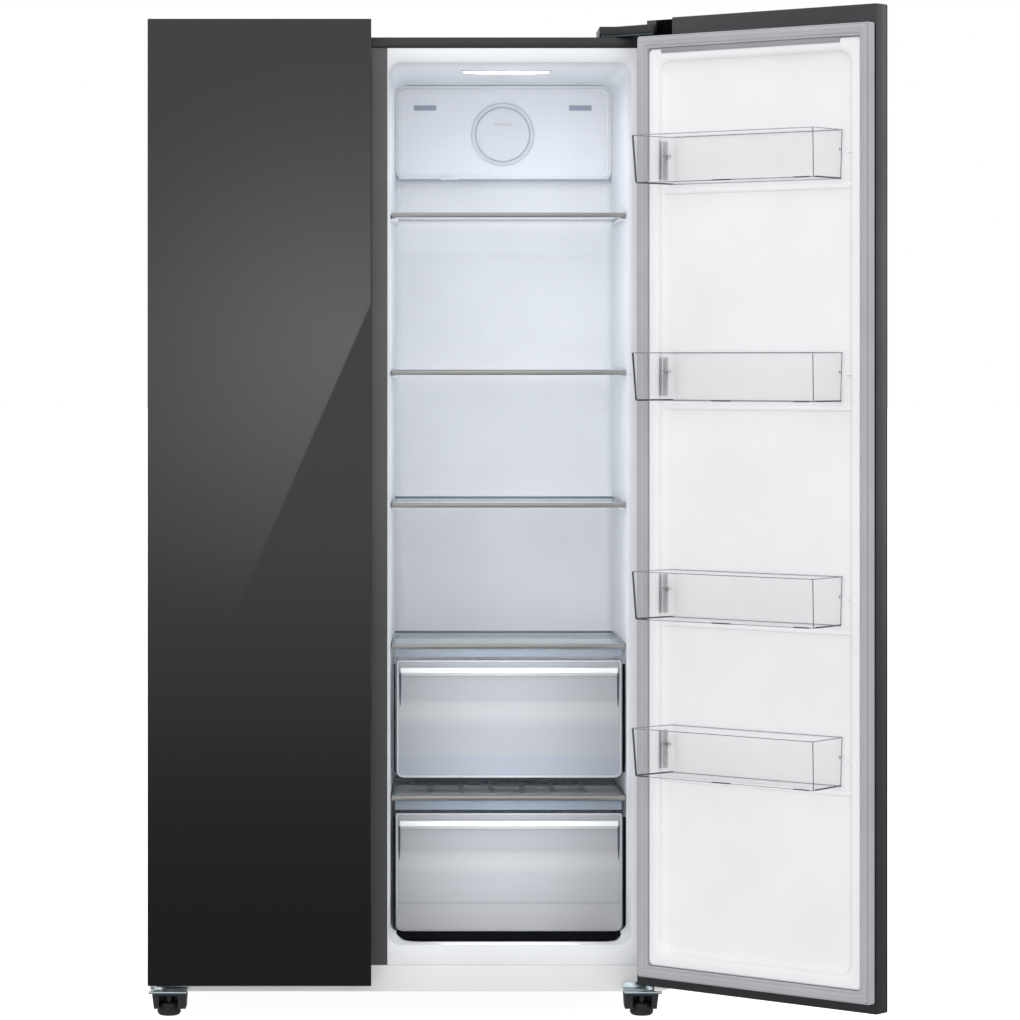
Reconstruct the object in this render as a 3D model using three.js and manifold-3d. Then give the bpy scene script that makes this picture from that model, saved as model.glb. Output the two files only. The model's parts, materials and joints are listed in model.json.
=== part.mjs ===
// A side-by-side refrigerator: freezer on the left with its door shut, fridge on the right with its
// door swung open. Millimetres, +Z up, +X to the right, -Y towards the user.
// While it is built, X = 0 is the middle of the cabinet, Y = 0 the front of a closed door and
// Z = 0 the floor. At the end the group moves so that the origin is the middle of its footprint.
import * as THREE from 'three';
import { mergeVertices } from 'three/addons/utils/BufferGeometryUtils.js';
import Module from 'manifold-3d';

const wasm = await Module();
wasm.setup();

// ---------------------------------------------------------------- driving dimensions

const HALF_WIDTH = 456.5; // cabinet, from its middle to its side
const CASE = { front: 64, back: 735, bottom: 46, top: 1750 };
const SHEET = 1.5; // outer sheet steel
const LINER = 3; // moulded plastic liners
const GAP = 0.3; // between pieces that touch

const OPENING = { bottom: 129.5, top: 1705, radius: 22 };
const FLANGE = { bottom: 93.3, top: 1730.7, thick: 2 };
const SIDE_FLANGE = 430; // a liner's flange ends this far from the middle
const INNER_BACK = { y: 640, rise: 4 }; // rear wall inside; floor and ceiling close in by the rise
const STEP = { y: 500, z: 345 }; // the liners step forward over the machine compartment
const MACHINE_ROOM = { half: 440, y0: 560, y1: 732, z0: 48.4, z1: 290 };

// each compartment's inner walls, at the opening and at the rear
const FRIDGE = { name: 'fridge', left: -30, right: 403.5, backLeft: -18, backRight: 396.3 };
const FREEZER = { name: 'freezer', left: -403.5, right: -87.5, backLeft: -396.3, backRight: -98 };
const FRIDGE_FLANGE = { left: -32.2, right: SIDE_FLANGE };
const FREEZER_FLANGE = { left: -SIDE_FLANGE, right: -85.3 };

const SHELF = { front: 190, back: 555, bar: 10, height: 8.4, glass: 4, clear: 2.4 };
const FRIDGE_SHELVES = [1441.6, 1155, 914, 657.8, 382.2]; // top of each front bar
const FREEZER_SHELVES = [1400, 1130, 880];
const LEDGE = { reach: 11, height: 6, front: 205, back: 548 };

const DRAWERS = [
  { bottom: 413.5, top: 628.8, back: 552 },
  { bottom: 134.4, top: 350.3, back: 478 },
];
const DRAWER = { front: 198, wall: 2.5, side: 9.5, face: 6, taper: 5, radius: 9, lip: 7, lipDrop: 24 };
const RUNNER = { clear: 1.2, height: 6 };

const DOOR = { bottom: 65, top: 1778, glass: 4, thick: 34, wall: 1.5, side: 2 };
const FRIDGE_DOOR = { name: 'fridge', sign: 1, width: 513, open: 138.8 };
const FREEZER_DOOR = { name: 'freezer', sign: -1, width: 396, open: 0 };
const PIVOT = { in: 20, deep: 19, pin: 5, hole: 5.5 }; // hinge axis from the door's side and front
const NOTCH = { reach: 78, front: 5.8, floor: 1748 }; // cut in the door's top for the hinge arm
const BACK_OPENING = { hinge: 10, free: 8, bottom: 87, top: 1742 }; // in the door case, behind the liner
const PAD = { q0: 34.3, q1: 38.2, hinge: 9, free: 5, bottom: 85, top: 1744 }; // liner edge, under the seal
const SEAL = { q0: 38.5, q1: 63.6, outHinge: 19, outFree: 0.5, inHinge: 43, inFree: 15 };
const SEAL_Z = { out0: 83.6, out1: 1745.5, in0: 105.5, in1: 1723 };
const RIM = { hinge: 46, free: 18, bottom: 109, top: 1719, crest: 58 }; // raised rim of the door liner
const RECESS = { crestIn: 15, slope: 16, floor: 45, radius: 24 };

const BIN = { hinge: 75, free: 49, front: 150, back: 47, height: 85, wall: 2, skew: 10, taper: 3 };
const FRIDGE_BINS = [1566, 1187, 805.8, 532.6]; // top of each bin
const FREEZER_BINS = [1480, 1080, 660];
const EAR = { q0: 48.5, q1: 58, reach: 3.5, thick: 4, drop: 36 };

const ARM = { half: 10, z0: 1750.4, z1: 1754.2 }; // top hinge arm, running diagonally to the pin
const ARM_COVER = { half: 11, z0: 1754.6, z1: 1769 };
const BRACKET = { x0: 350, x1: 418, y0: 66, y1: 190 }; // the part of the hinge screwed to the case
const LOW_BRACKET = { x0: 388, x1: 455, z0: 50.5, z1: 54.2 };

const FOOT = { x: 423.5, y: 92, radius: 21, stud: 4, top: 42 };
const ROLLER = { x: 400, y: 690, radius: 20, width: 18, axle: 4 };

const FAN = { shaft: 3, bore: 3.6 };
const COOLING_FAN = { x: -70, y: 648, z: 150, radius: 68, depth: 24 }; // blows along X
const FREEZER_FAN = { x: -247, y: 600, z: 760, radius: 58, depth: 20 }; // blows along Y

const DUCT_PANEL = { x0: -16, x1: 394, z0: 1520, z1: 1697, y0: 612, y1: 639.4 };
const BADGE = { x: 187, z: 1606.4, radius: 60, thick: 3 };
const LAMP = { x0: 102, x1: 268, y0: 235, y1: 285, drop: 9 };

// ---------------------------------------------------------------- colours

const finish = (color, roughness, metalness = 0, extra = {}) =>
  new THREE.MeshStandardMaterial({ color, roughness, metalness, ...extra });
const clear = (color, opacity) => finish(color, 0.1, 0, { transparent: true, opacity });

const DARK_STEEL = finish(0x4a4a4c, 0.45, 0.3);
const BLACK_GLASS = finish(0x1b1b1d, 0.06);
const WHITE_PLASTIC = finish(0xe9ebee, 0.4);
const GREY_RUBBER = finish(0xa9a9af, 0.6);
const BLACK_PLASTIC = finish(0x202022, 0.5);
const ZINC = finish(0xb4b8bc, 0.35, 0.9);
const FOAM = finish(0xe6dfb8, 0.9);
const COPPER = finish(0xa8674a, 0.35, 0.9);
const SHELF_GLASS = clear(0xb9c4cc, 0.45);
const CLEAR_PLASTIC = clear(0xd8dee6, 0.4);

// ---------------------------------------------------------------- solids

function toSolid(geometry) {
  const bare = geometry.clone();
  bare.deleteAttribute('normal');
  bare.deleteAttribute('uv');
  const merged = mergeVertices(bare, 1e-4);
  return new wasm.Manifold(new wasm.Mesh({
    numProp: 3,
    vertProperties: merged.attributes.position.array,
    triVerts: new Uint32Array(merged.index.array),
  }));
}

function toGeometry(solid) {
  const mesh = solid.getMesh();
  const geometry = new THREE.BufferGeometry();
  geometry.setAttribute('position', new THREE.BufferAttribute(mesh.vertProperties, 3));
  geometry.setIndex(new THREE.BufferAttribute(mesh.triVerts, 1));
  geometry.computeVertexNormals();
  return geometry;
}

const join = (...parts) => toGeometry(parts.map(toSolid).reduce((a, b) => a.add(b)));
const cut = (base, ...tools) => toGeometry(tools.map(toSolid).reduce((a, b) => a.subtract(b), toSolid(base)));

// A box between two values on each axis, given in either order.
function slab(x0, x1, y0, y1, z0, z1) {
  const box = new THREE.BoxGeometry(Math.abs(x1 - x0), Math.abs(y1 - y0), Math.abs(z1 - z0));
  return box.translate((x0 + x1) / 2, (y0 + y1) / 2, (z0 + z1) / 2);
}

// A round bar from one end to the other along an axis.
function rod(radius, x, y, z, length, axis = 'z', sides = 20) {
  const bar = new THREE.CylinderGeometry(radius, radius, length, sides);
  bar.translate(0, length / 2, 0);
  if (axis === 'z') bar.rotateX(Math.PI / 2);
  if (axis === 'x') bar.rotateZ(-Math.PI / 2);
  return bar.translate(x, y, z);
}

// An outline in X and Y, pushed up from z0 to z1.
function prism(points, z0, z1) {
  const shape = new THREE.Shape(points.map(([x, y]) => new THREE.Vector2(x, y)));
  const solid = new THREE.ExtrudeGeometry(shape, { depth: z1 - z0, bevelEnabled: false });
  return solid.translate(0, 0, z0);
}

// The points of a rectangle with round corners.
function roundedRing({ a0, a1, b0, b1, radius }, steps = 4) {
  const corners = [
    [a1 - radius, b0 + radius, -90],
    [a1 - radius, b1 - radius, 0],
    [a0 + radius, b1 - radius, 90],
    [a0 + radius, b0 + radius, 180],
  ];
  const ring = [];
  for (const [a, b, start] of corners) {
    for (let i = 0; i <= steps; i++) {
      const angle = THREE.MathUtils.degToRad(start + (90 * i) / steps);
      ring.push([a + radius * Math.cos(angle), b + radius * Math.sin(angle)]);
    }
  }
  return ring;
}

// A solid through round-cornered rectangles at rising levels along Z.
function loft(sections) {
  const rings = sections.map((section) => roundedRing(section));
  const count = rings[0].length;
  const positions = rings.flatMap((ring, k) => ring.flatMap(([a, b]) => [a, b, sections[k].level]));
  const index = [];
  for (let k = 0; k + 1 < rings.length; k++) {
    for (let i = 0; i < count; i++) {
      const [p, q] = [k * count + i, k * count + ((i + 1) % count)];
      index.push(p, q, q + count, p, q + count, p + count);
    }
  }
  const last = (rings.length - 1) * count;
  for (let i = 1; i + 1 < count; i++) {
    index.push(0, i + 1, i);
    index.push(last, last + i, last + i + 1);
  }
  const solid = new THREE.BufferGeometry();
  solid.setAttribute('position', new THREE.Float32BufferAttribute(positions, 3));
  solid.setIndex(index);
  return solid.toNonIndexed();
}

// The same, but the sections stand upright at rising Y: their a is X and their b is Z.
function loftBack(sections) {
  const turned = sections.map(({ b0, b1, ...rest }) => ({ ...rest, b0: -b1, b1: -b0 }));
  return loft(turned).rotateX(-Math.PI / 2);
}

// ---------------------------------------------------------------- the assembly

const refrigerator = new THREE.Group();

function add(name, geometry, material, parent = refrigerator) {
  const mesh = new THREE.Mesh(geometry, material);
  mesh.name = name;
  parent.add(mesh);
  return mesh;
}

// ---------------------------------------------------------------- case

function sidePanel(sign) {
  const at = (inset) => sign * (HALF_WIDTH - inset);
  const flange = HALF_WIDTH - SIDE_FLANGE - GAP;
  const outline = [
    [at(0), CASE.front],
    [at(flange), CASE.front],
    [at(flange), CASE.front + SHEET],
    [at(SHEET), CASE.front + SHEET],
    [at(SHEET), CASE.back - SHEET - GAP],
    [at(0), CASE.back - SHEET - GAP],
  ];
  const full = prism(outline, CASE.bottom, FLANGE.top);
  return cut(full, slab(at(-1), at(flange + 1), CASE.front - 1, CASE.front + 3, CASE.bottom - 1, FLANGE.bottom));
}

function topPanel() {
  const inner = HALF_WIDTH - SHEET;
  const block = slab(-HALF_WIDTH, HALF_WIDTH, CASE.front, CASE.back, FLANGE.top + GAP, CASE.top);
  return cut(block, slab(-inner, inner, CASE.front + SHEET, CASE.back - SHEET, 0, CASE.top - SHEET));
}

function rearPanel() {
  const z1 = FLANGE.top;
  const sheet = slab(-HALF_WIDTH, HALF_WIDTH, CASE.back - SHEET, CASE.back, MACHINE_ROOM.z1, z1);
  const rib = (x) => slab(x - 20, x + 20, CASE.back - SHEET - 1, CASE.back - SHEET, 400, 1600);
  return join(sheet, rib(-250), rib(0), rib(250));
}

// The pan under the case carries a stamped bracket with a threaded boss for each foot's stud, and two
// cheeks for each roller.
function basePan() {
  const pan = slab(-452, 452, 67, CASE.back - 3, CASE.bottom + GAP, MACHINE_ROOM.z0 - GAP);
  const top = CASE.bottom + 1;
  const housing = (side, inset) => {
    const outline = [[33 - inset, -top], [31 - inset, -14], [-26 + inset, -14], [-30 + inset, -top]];
    const points = outline.map(([out, z]) => [side * (FOOT.x - out), z]);
    return prism(points, 68 + inset, 116 - inset).rotateX(-Math.PI / 2);
  };
  const cheek = (side, offset) => {
    const x = side * ROLLER.x + offset;
    return slab(x - 1.5, x + 1.5, ROLLER.y - 18, ROLLER.y + 18, 12, top);
  };
  const pieces = [pan];
  const hollows = [];
  const bosses = [];
  const holes = [];
  for (const side of [-1, 1]) {
    const x = side * FOOT.x;
    pieces.push(housing(side, 0), cheek(side, -13), cheek(side, 13));
    hollows.push(housing(side, 2).translate(0, 0, -3.4));
    hollows.push(slab(x - 17, x + 17, 60, 75, 13, 37));
    bosses.push(rod(9, x, FOOT.y, 26, 20, 'z', 16));
    holes.push(rod(FOOT.stud + 0.4, x, FOOT.y, 20, FOOT.top + 1 - 20, 'z', 12));
    holes.push(rod(ROLLER.axle + 0.5, side * ROLLER.x - 20, ROLLER.y, ROLLER.radius, 40, 'x', 12));
  }
  const body = join(cut(join(...pieces), ...hollows), ...bosses);
  return join(cut(body, ...holes), ...coolingMotor());
}

function mullionPlate() {
  const x0 = FREEZER_FLANGE.right + GAP;
  const x1 = FRIDGE_FLANGE.left - GAP;
  return slab(x0, x1, CASE.front, CASE.front + SHEET, FLANGE.bottom, FLANGE.top);
}

function baseCover() {
  const face = slab(-HALF_WIDTH, HALF_WIDTH, CASE.front, CASE.front + 2.4, CASE.bottom, FLANGE.bottom - GAP);
  const lip = slab(-452, 452, CASE.front, CASE.front + 12, FLANGE.bottom - 3, FLANGE.bottom - GAP);
  return join(face, lip);
}

// Where a drawer's side stands at its top.
function drawerSide(c, side, { back }) {
  return wallAt(c, side, back) - side * DRAWER.side;
}

// The hollow of a compartment, grown outwards by a margin on every wall.
function hollow(c, margin, frontY) {
  const along = (y) => (y - CASE.front) / (INNER_BACK.y - CASE.front);
  const section = (y, bottom) => {
    const t = along(y);
    return {
      level: y,
      a0: THREE.MathUtils.lerp(c.left, c.backLeft, t) - margin,
      a1: THREE.MathUtils.lerp(c.right, c.backRight, t) + margin,
      b0: (bottom ?? OPENING.bottom + INNER_BACK.rise * t) - margin,
      b1: OPENING.top - INNER_BACK.rise * t + margin,
      radius: OPENING.radius + margin,
    };
  };
  const front = loftBack([section(frontY), section(STEP.y + margin)]);
  const upper = loftBack([section(STEP.y - 60, STEP.z), section(INNER_BACK.y + margin, STEP.z)]);
  return join(front, upper);
}

// Where a side wall of a compartment stands at a given depth.
function wallAt(c, side, y) {
  const t = (y - CASE.front) / (INNER_BACK.y - CASE.front);
  return side < 0
    ? THREE.MathUtils.lerp(c.left, c.backLeft, t)
    : THREE.MathUtils.lerp(c.right, c.backRight, t);
}

// A ledge from a side wall inwards to a given X, for a shelf or for a drawer's lip.
function ledge(c, side, inner, y0, y1, z0, z1) {
  const outer = (y) => wallAt(c, side, y) + side * 1.5;
  return prism([[outer(y0), y0], [outer(y1), y1], [inner, y1], [inner, y0]], z0, z1);
}

function liner(c, flange, shelves) {
  const skin = hollow(c, LINER, CASE.front + FLANGE.thick - 0.5);
  const plate = slab(flange.left, flange.right, CASE.front, CASE.front + FLANGE.thick, FLANGE.bottom, FLANGE.top);
  const shell = cut(join(skin, plate), hollow(c, 0, CASE.front - 1));
  const ledges = [];
  for (const side of [-1, 1]) {
    for (const top of shelves) {
      const z1 = top - SHELF.height - GAP;
      const inner = wallAt(c, side, LEDGE.back) - side * LEDGE.reach;
      ledges.push(ledge(c, side, inner, LEDGE.front, LEDGE.back, z1 - LEDGE.height, z1));
    }
    for (const size of DRAWERS) {
      const z1 = size.top - DRAWER.lipDrop - GAP;
      const inner = drawerSide(c, side, size) + side * RUNNER.clear;
      ledges.push(ledge(c, side, inner, DRAWER.front + 8, size.back - 4, z1 - RUNNER.height, z1));
    }
  }
  return join(shell, ...ledges);
}

function cabinetFoam() {
  const m = LINER + GAP;
  const front = CASE.front + FLANGE.thick + GAP;
  const block = slab(
    -HALF_WIDTH + SHEET + GAP, HALF_WIDTH - SHEET - GAP,
    front, CASE.back - SHEET - 1 - GAP, MACHINE_ROOM.z0, CASE.top - SHEET - GAP,
  );
  const room = slab(-1e3, 1e3, MACHINE_ROOM.y0, 1e3, 0, MACHINE_ROOM.z1);
  const lowFront = slab(-1e3, 1e3, 0, CASE.front + 13, 0, FLANGE.bottom + GAP);
  return cut(block, hollow(FRIDGE, m, 0), hollow(FREEZER, m, 0), room, lowFront);
}

function makeCase() {
  add('side_panel_left', sidePanel(-1), DARK_STEEL);
  add('side_panel_right', sidePanel(1), DARK_STEEL);
  add('top_panel', topPanel(), DARK_STEEL);
  add('rear_panel', rearPanel(), ZINC);
  add('base_pan', basePan(), BLACK_PLASTIC);
  add('mullion_plate', mullionPlate(), DARK_STEEL);
  add('base_cover', baseCover(), WHITE_PLASTIC);
  add('cabinet_foam', cabinetFoam(), FOAM);
  add('fridge_liner', liner(FRIDGE, FRIDGE_FLANGE, FRIDGE_SHELVES), WHITE_PLASTIC);
  add('freezer_liner', liner(FREEZER, FREEZER_FLANGE, FREEZER_SHELVES), WHITE_PLASTIC);
}

// ---------------------------------------------------------------- hinges, feet and rollers

// The outline of the arm: the bracket on the case and a diagonal band that ends round the pin.
function armOutline(sign, half, spread) {
  const pin = [HALF_WIDTH - PIVOT.in, PIVOT.deep];
  const reach = BRACKET.y0 + spread - pin[1];
  const side = half * Math.SQRT1_2;
  const points = [
    [BRACKET.x0 - spread, BRACKET.y0 - spread],
    [pin[0] - reach + spread * 2 - side * 2, BRACKET.y0 - spread],
  ];
  for (let i = 0; i <= 8; i++) {
    const angle = THREE.MathUtils.degToRad(225 + (180 * i) / 8);
    points.push([pin[0] + half * Math.cos(angle), pin[1] + half * Math.sin(angle)]);
  }
  points.push([pin[0] - reach + side * 2, BRACKET.y0 + spread]);
  points.push([BRACKET.x1 + spread, BRACKET.y0 + spread + 8]);
  points.push([BRACKET.x1 + spread, BRACKET.y1 + spread]);
  points.push([BRACKET.x0 - spread, BRACKET.y1 + spread]);
  return points.map(([x, y]) => [sign * x, y]);
}

function topHinge(sign) {
  const x = sign * (HALF_WIDTH - PIVOT.in);
  const plate = prism(armOutline(sign, ARM.half, 0), ARM.z0, ARM.z1);
  return join(plate, rod(PIVOT.pin, x, PIVOT.deep, ARM.z1 - 18, 17, 'z', 16));
}

function hingeCover(sign) {
  const cap = prism(armOutline(sign, ARM_COVER.half, 3), ARM_COVER.z0, ARM_COVER.z1);
  const [x0, x1] = [sign * (BRACKET.x0 - 3), sign * (BRACKET.x1 + 3)];
  const skirt = slab(x0, x1, BRACKET.y0 + 8, BRACKET.y1 + 3, CASE.top + GAP, ARM_COVER.z0 + 1);
  const room = slab(
    sign * (BRACKET.x0 - GAP), sign * (BRACKET.x1 + GAP),
    BRACKET.y0 - 20, BRACKET.y1 + GAP, CASE.top - 1, ARM_COVER.z0,
  );
  return join(cap, cut(skirt, room));
}

function bottomHinge(sign) {
  const { x0, x1, z0, z1 } = LOW_BRACKET;
  const plate = slab(sign * x0, sign * x1, 4, CASE.front - 1, z0, z1);
  const upstand = slab(sign * x0, sign * (x1 - 22), CASE.front - 3.5, CASE.front - 1, z1 - 1, z1 + 9);
  const x = sign * (HALF_WIDTH - PIVOT.in);
  const pin = rod(PIVOT.pin, x, PIVOT.deep, z1 - 1, 32, 'z', 16);
  const shoulder = rod(7, x, PIVOT.deep, z1 - 1, DOOR.bottom - GAP - z1 + 1, 'z', 20);
  return join(plate, upstand, pin, shoulder);
}

function foot(sign) {
  const { radius, stud, top } = FOOT;
  const collar = [[radius, 4], [radius, 17], [radius - 2, 19], [radius - 3, 23.5], [stud, 23.5]];
  const profile = [[0, 0], [radius - 5, 0], ...collar, [stud, top], [0, top]];
  const turned = new THREE.LatheGeometry(profile.map(([r, z]) => new THREE.Vector2(r, z)), 20);
  return turned.rotateX(Math.PI / 2).translate(sign * FOOT.x, FOOT.y, 0);
}

function roller(sign) {
  const { x, y, radius, width, axle } = ROLLER;
  const wheel = rod(radius, sign * x - width / 2, y, radius, width, 'x', 28);
  return join(wheel, rod(axle, sign * x - 17, y, radius, 34, 'x', 12));
}

function makeRunningGear() {
  for (const [side, sign] of [['left', -1], ['right', 1]]) {
    add(`top_hinge_${side}`, topHinge(sign), ZINC);
    add(`hinge_cover_${side}`, hingeCover(sign), BLACK_PLASTIC);
    add(`bottom_hinge_${side}`, bottomHinge(sign), ZINC);
    add(`foot_${side}`, foot(sign), BLACK_PLASTIC);
    add(`roller_${side}`, roller(sign), BLACK_PLASTIC);
  }
}

// ---------------------------------------------------------------- refrigeration

// A block of plates on a comb-shaped spine, as a finned heat exchanger is.
function finnedBlock(x0, x1, y0, y1, z0, z1, fins) {
  const pitch = (x1 - x0) / (fins * 2 - 1);
  const spine = slab(x0, x1, y0, y1, (z0 + z1) / 2 - 6, (z0 + z1) / 2 + 6);
  const plates = [];
  for (let i = 0; i < fins; i++) {
    plates.push(slab(x0 + i * 2 * pitch, x0 + (i * 2 + 1) * pitch, y0, y1, z0, z1));
  }
  return join(spine, ...plates);
}

// A hub with flat pitched blades, turning about the Y axis until it is turned elsewhere.
function fan({ radius, depth }, blades = 5) {
  const parts = [rod(radius * 0.3, 0, -depth / 2, 0, depth, 'y', 16)];
  for (let i = 0; i < blades; i++) {
    const blade = slab(-radius * 0.26, radius * 0.26, -1, 1, radius * 0.2, radius);
    parts.push(blade.rotateZ(0.42).rotateY((2 * Math.PI * i) / blades));
  }
  return cut(join(...parts), rod(FAN.bore, 0, -depth, 0, 2 * depth, 'y', 12));
}

// The motor that carries the cooling fan, on a post from the base pan.
function coolingMotor() {
  const { x, y, z, depth } = COOLING_FAN;
  const face = x + depth / 2 + 3;
  const body = rod(22, face, y, z, 34, 'x', 20);
  const shaft = rod(FAN.shaft, x - 4, y, z, depth, 'x', 12);
  const post = slab(face + 8, face + 26, y - 14, y + 14, MACHINE_ROOM.z0 - 1, z);
  return [body, shaft, post];
}

// The motor that carries the freezer's fan, on the rear of its duct panel.
function freezerMotor() {
  const { x, y, z, depth } = FREEZER_FAN;
  const face = y - depth / 2 - 3;
  return [rod(20, x, 561, z, face - 561, 'y', 20), rod(FAN.shaft, x, face - 1, z, depth, 'y', 12)];
}

function compressor() {
  const profile = [[0, 0], [62, 0], [68, 8], [68, 100], [60, 135], [38, 152], [0, 158]];
  const body = new THREE.LatheGeometry(profile.map(([r, z]) => new THREE.Vector2(r, z)), 24);
  body.rotateX(Math.PI / 2).translate(250, 648, 66);
  const feet = slab(165, 335, 590, 706, 60, 70);
  const grommet = (x, y) => rod(9, x, y, MACHINE_ROOM.z0, 14, 'z', 10);
  const box = slab(306, 338, 620, 676, 110, 170);
  return join(body, feet, box, grommet(178, 602), grommet(322, 602), grommet(178, 694), grommet(322, 694));
}

function machineCover() {
  const y0 = CASE.back - SHEET;
  const sheet = slab(-HALF_WIDTH, HALF_WIDTH, y0, CASE.back, CASE.bottom + GAP, MACHINE_ROOM.z1 - GAP);
  const slots = [];
  for (let row = 0; row < 5; row++) {
    for (const x of [-300, -180, 180, 300]) {
      const z = 110 + row * 32;
      slots.push(slab(x - 46, x + 46, y0 - 5, CASE.back + 5, z, z + 10));
    }
  }
  const passage = rod(9.4, 405, y0 - 5, 90, 20, 'y', 16);
  return cut(sheet, ...slots, passage);
}

// A sleeve in the machine cover, where a mains lead would leave.
function cordGland() {
  const inner = rod(14, 405, CASE.back - 8, 90, 6, 'y', 20);
  const neck = rod(9, 405, CASE.back - 8, 90, 8, 'y', 20);
  return cut(join(inner, neck), rod(4, 405, CASE.back - 20, 90, 40, 'y', 12));
}

function makeRefrigeration() {
  add('compressor', compressor(), BLACK_PLASTIC);
  add('condenser', finnedBlock(-400, -150, 590, 700, MACHINE_ROOM.z0, 240, 14), COPPER);
  const blower = add('condenser_fan', fan(COOLING_FAN), BLACK_PLASTIC);
  blower.position.set(COOLING_FAN.x, COOLING_FAN.y, COOLING_FAN.z);
  blower.rotation.z = Math.PI / 2;
  add('evaporator', finnedBlock(-372, -124, 574, 628, STEP.z + GAP, 620, 16), ZINC);
  const inner = add('evaporator_fan', fan(FREEZER_FAN), BLACK_PLASTIC);
  inner.position.set(FREEZER_FAN.x, FREEZER_FAN.y, FREEZER_FAN.z);
  add('machine_cover', machineCover(), ZINC);
  add('cord_gland', cordGland(), BLACK_PLASTIC);
}

// ---------------------------------------------------------------- inside the compartments

function shelf(c, top) {
  const z0 = top - SHELF.height;
  const across = (y, inset) => [wallAt(c, -1, y) + inset, wallAt(c, 1, y) - inset];
  const [bar0, bar1] = across(SHELF.front + SHELF.bar, SHELF.clear);
  const [glass0, glass1] = across(SHELF.back, SHELF.clear);
  const bar = slab(bar0, bar1, SHELF.front, SHELF.front + SHELF.bar, z0, top);
  const glass = slab(glass0, glass1, SHELF.front + 2, SHELF.back, z0, z0 + SHELF.glass);
  const stop = slab(glass0, glass1, SHELF.back - 6, SHELF.back, z0, top);
  return join(bar, glass, stop);
}

// An open-topped tray that narrows downwards and to the rear, with a lip along each side.
function drawer(c, size) {
  const { bottom, top, back } = size;
  const { front, wall, taper, radius, lip, lipDrop } = DRAWER;
  const left = drawerSide(c, -1, size);
  const right = drawerSide(c, 1, size);
  const level = (z, inset, shrink) => ({
    level: z,
    a0: left + inset + shrink,
    a1: right - inset - shrink,
    b0: front + 4 + inset,
    b1: back - inset - shrink,
    radius,
  });
  const tray = (inset, z0, z1) => loft([level(z0, inset, taper), level(z1, inset, 0)]);
  const body = tray(0, bottom, top);
  const plate = {
    a0: left - DRAWER.face, a1: right + DRAWER.face, b0: bottom, b1: top, radius: 8,
  };
  const face = loftBack([{ ...plate, level: front }, { ...plate, level: front + 5 }]);
  const lips = [left, right].map((x, i) => {
    const outward = i * 2 - 1;
    return slab(x + outward * lip, x - outward, front + 12, back - 8, top - lipDrop, top - lipDrop + 3);
  });
  return cut(join(body, face, ...lips), tray(wall, bottom + wall, top + 1));
}

function fridgeDuctPanel() {
  const { x0, x1, y0, y1, z0, z1 } = DUCT_PANEL;
  const section = (level, inset) => ({
    level, a0: x0 + inset, a1: x1 - inset, b0: z0 + inset, b1: z1 - inset, radius: 16 - inset,
  });
  const block = loftBack([section(y0, 0), section(y1, 0)]);
  const inside = loftBack([section(y0 + 3, 3), section(y1 + 1, 3)]);
  const vent = (x) => slab(x - 20, x + 20, y0 - 5, y0 + 6, 1653, 1661);
  return cut(block, inside, vent(38), vent(336));
}

function badge() {
  const disc = rod(BADGE.radius, BADGE.x, DUCT_PANEL.y0 - GAP - BADGE.thick, BADGE.z, BADGE.thick, 'y', 36);
  const dish = rod(BADGE.radius - 9, BADGE.x, DUCT_PANEL.y0 - 10, BADGE.z, 10 - GAP - BADGE.thick + 1, 'y', 36);
  return cut(disc, dish);
}

function lamp() {
  const top = OPENING.top - INNER_BACK.rise * ((LAMP.y1 - CASE.front) / (INNER_BACK.y - CASE.front)) - GAP;
  return loft([
    { level: top - LAMP.drop, a0: LAMP.x0 + 5, a1: LAMP.x1 - 5, b0: LAMP.y0 + 3, b1: LAMP.y1 - 3, radius: 10 },
    { level: top, a0: LAMP.x0, a1: LAMP.x1, b0: LAMP.y0, b1: LAMP.y1, radius: 12 },
  ]);
}

function freezerDuctPanel() {
  const sheet = slab(-388, -106, 558, 562, 352, 1690);
  const rim = (x) => slab(x - 2, x + 2, 558, 639.5, 352, 1690);
  const vents = [];
  for (const z of [1600, 1340, 1060, 800]) {
    vents.push(slab(-340, -154, 550, 570, z, z + 14));
  }
  return join(cut(join(sheet, rim(-386), rim(-108)), ...vents), ...freezerMotor());
}

function makeInside() {
  FRIDGE_SHELVES.forEach((top, i) => add(`fridge_shelf_${i + 1}`, shelf(FRIDGE, top), SHELF_GLASS));
  FREEZER_SHELVES.forEach((top, i) => add(`freezer_shelf_${i + 1}`, shelf(FREEZER, top), SHELF_GLASS));
  DRAWERS.forEach((size, i) => {
    add(`crisper_drawer_${i + 1}`, drawer(FRIDGE, size), CLEAR_PLASTIC);
    add(`freezer_drawer_${i + 1}`, drawer(FREEZER, size), CLEAR_PLASTIC);
  });
  add('fridge_duct_panel', fridgeDuctPanel(), WHITE_PLASTIC);
  add('duct_badge', badge(), ZINC);
  add('fridge_lamp', lamp(), WHITE_PLASTIC);
  add('freezer_duct_panel', freezerDuctPanel(), WHITE_PLASTIC);
}

// ---------------------------------------------------------------- doors

// A door is drawn shut. p runs from its hinge side to its free side and q from its front to its rear.
const doorX = (door, p) => door.sign * (HALF_WIDTH - p);
const doorSlab = (door, p0, p1, q0, q1, z0, z1) => slab(doorX(door, p0), doorX(door, p1), q0, q1, z0, z1);
const doorPin = (door, radius, z0, z1) =>
  rod(radius, doorX(door, PIVOT.in), PIVOT.deep, z0, z1 - z0, 'z', 16);

function doorFrame({ sign }, p0, p1, z0, z1, radius, level) {
  const ends = [sign * (HALF_WIDTH - p0), sign * (HALF_WIDTH - p1)];
  return { level, a0: Math.min(...ends), a1: Math.max(...ends), b0: z0, b1: z1, radius };
}

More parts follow.
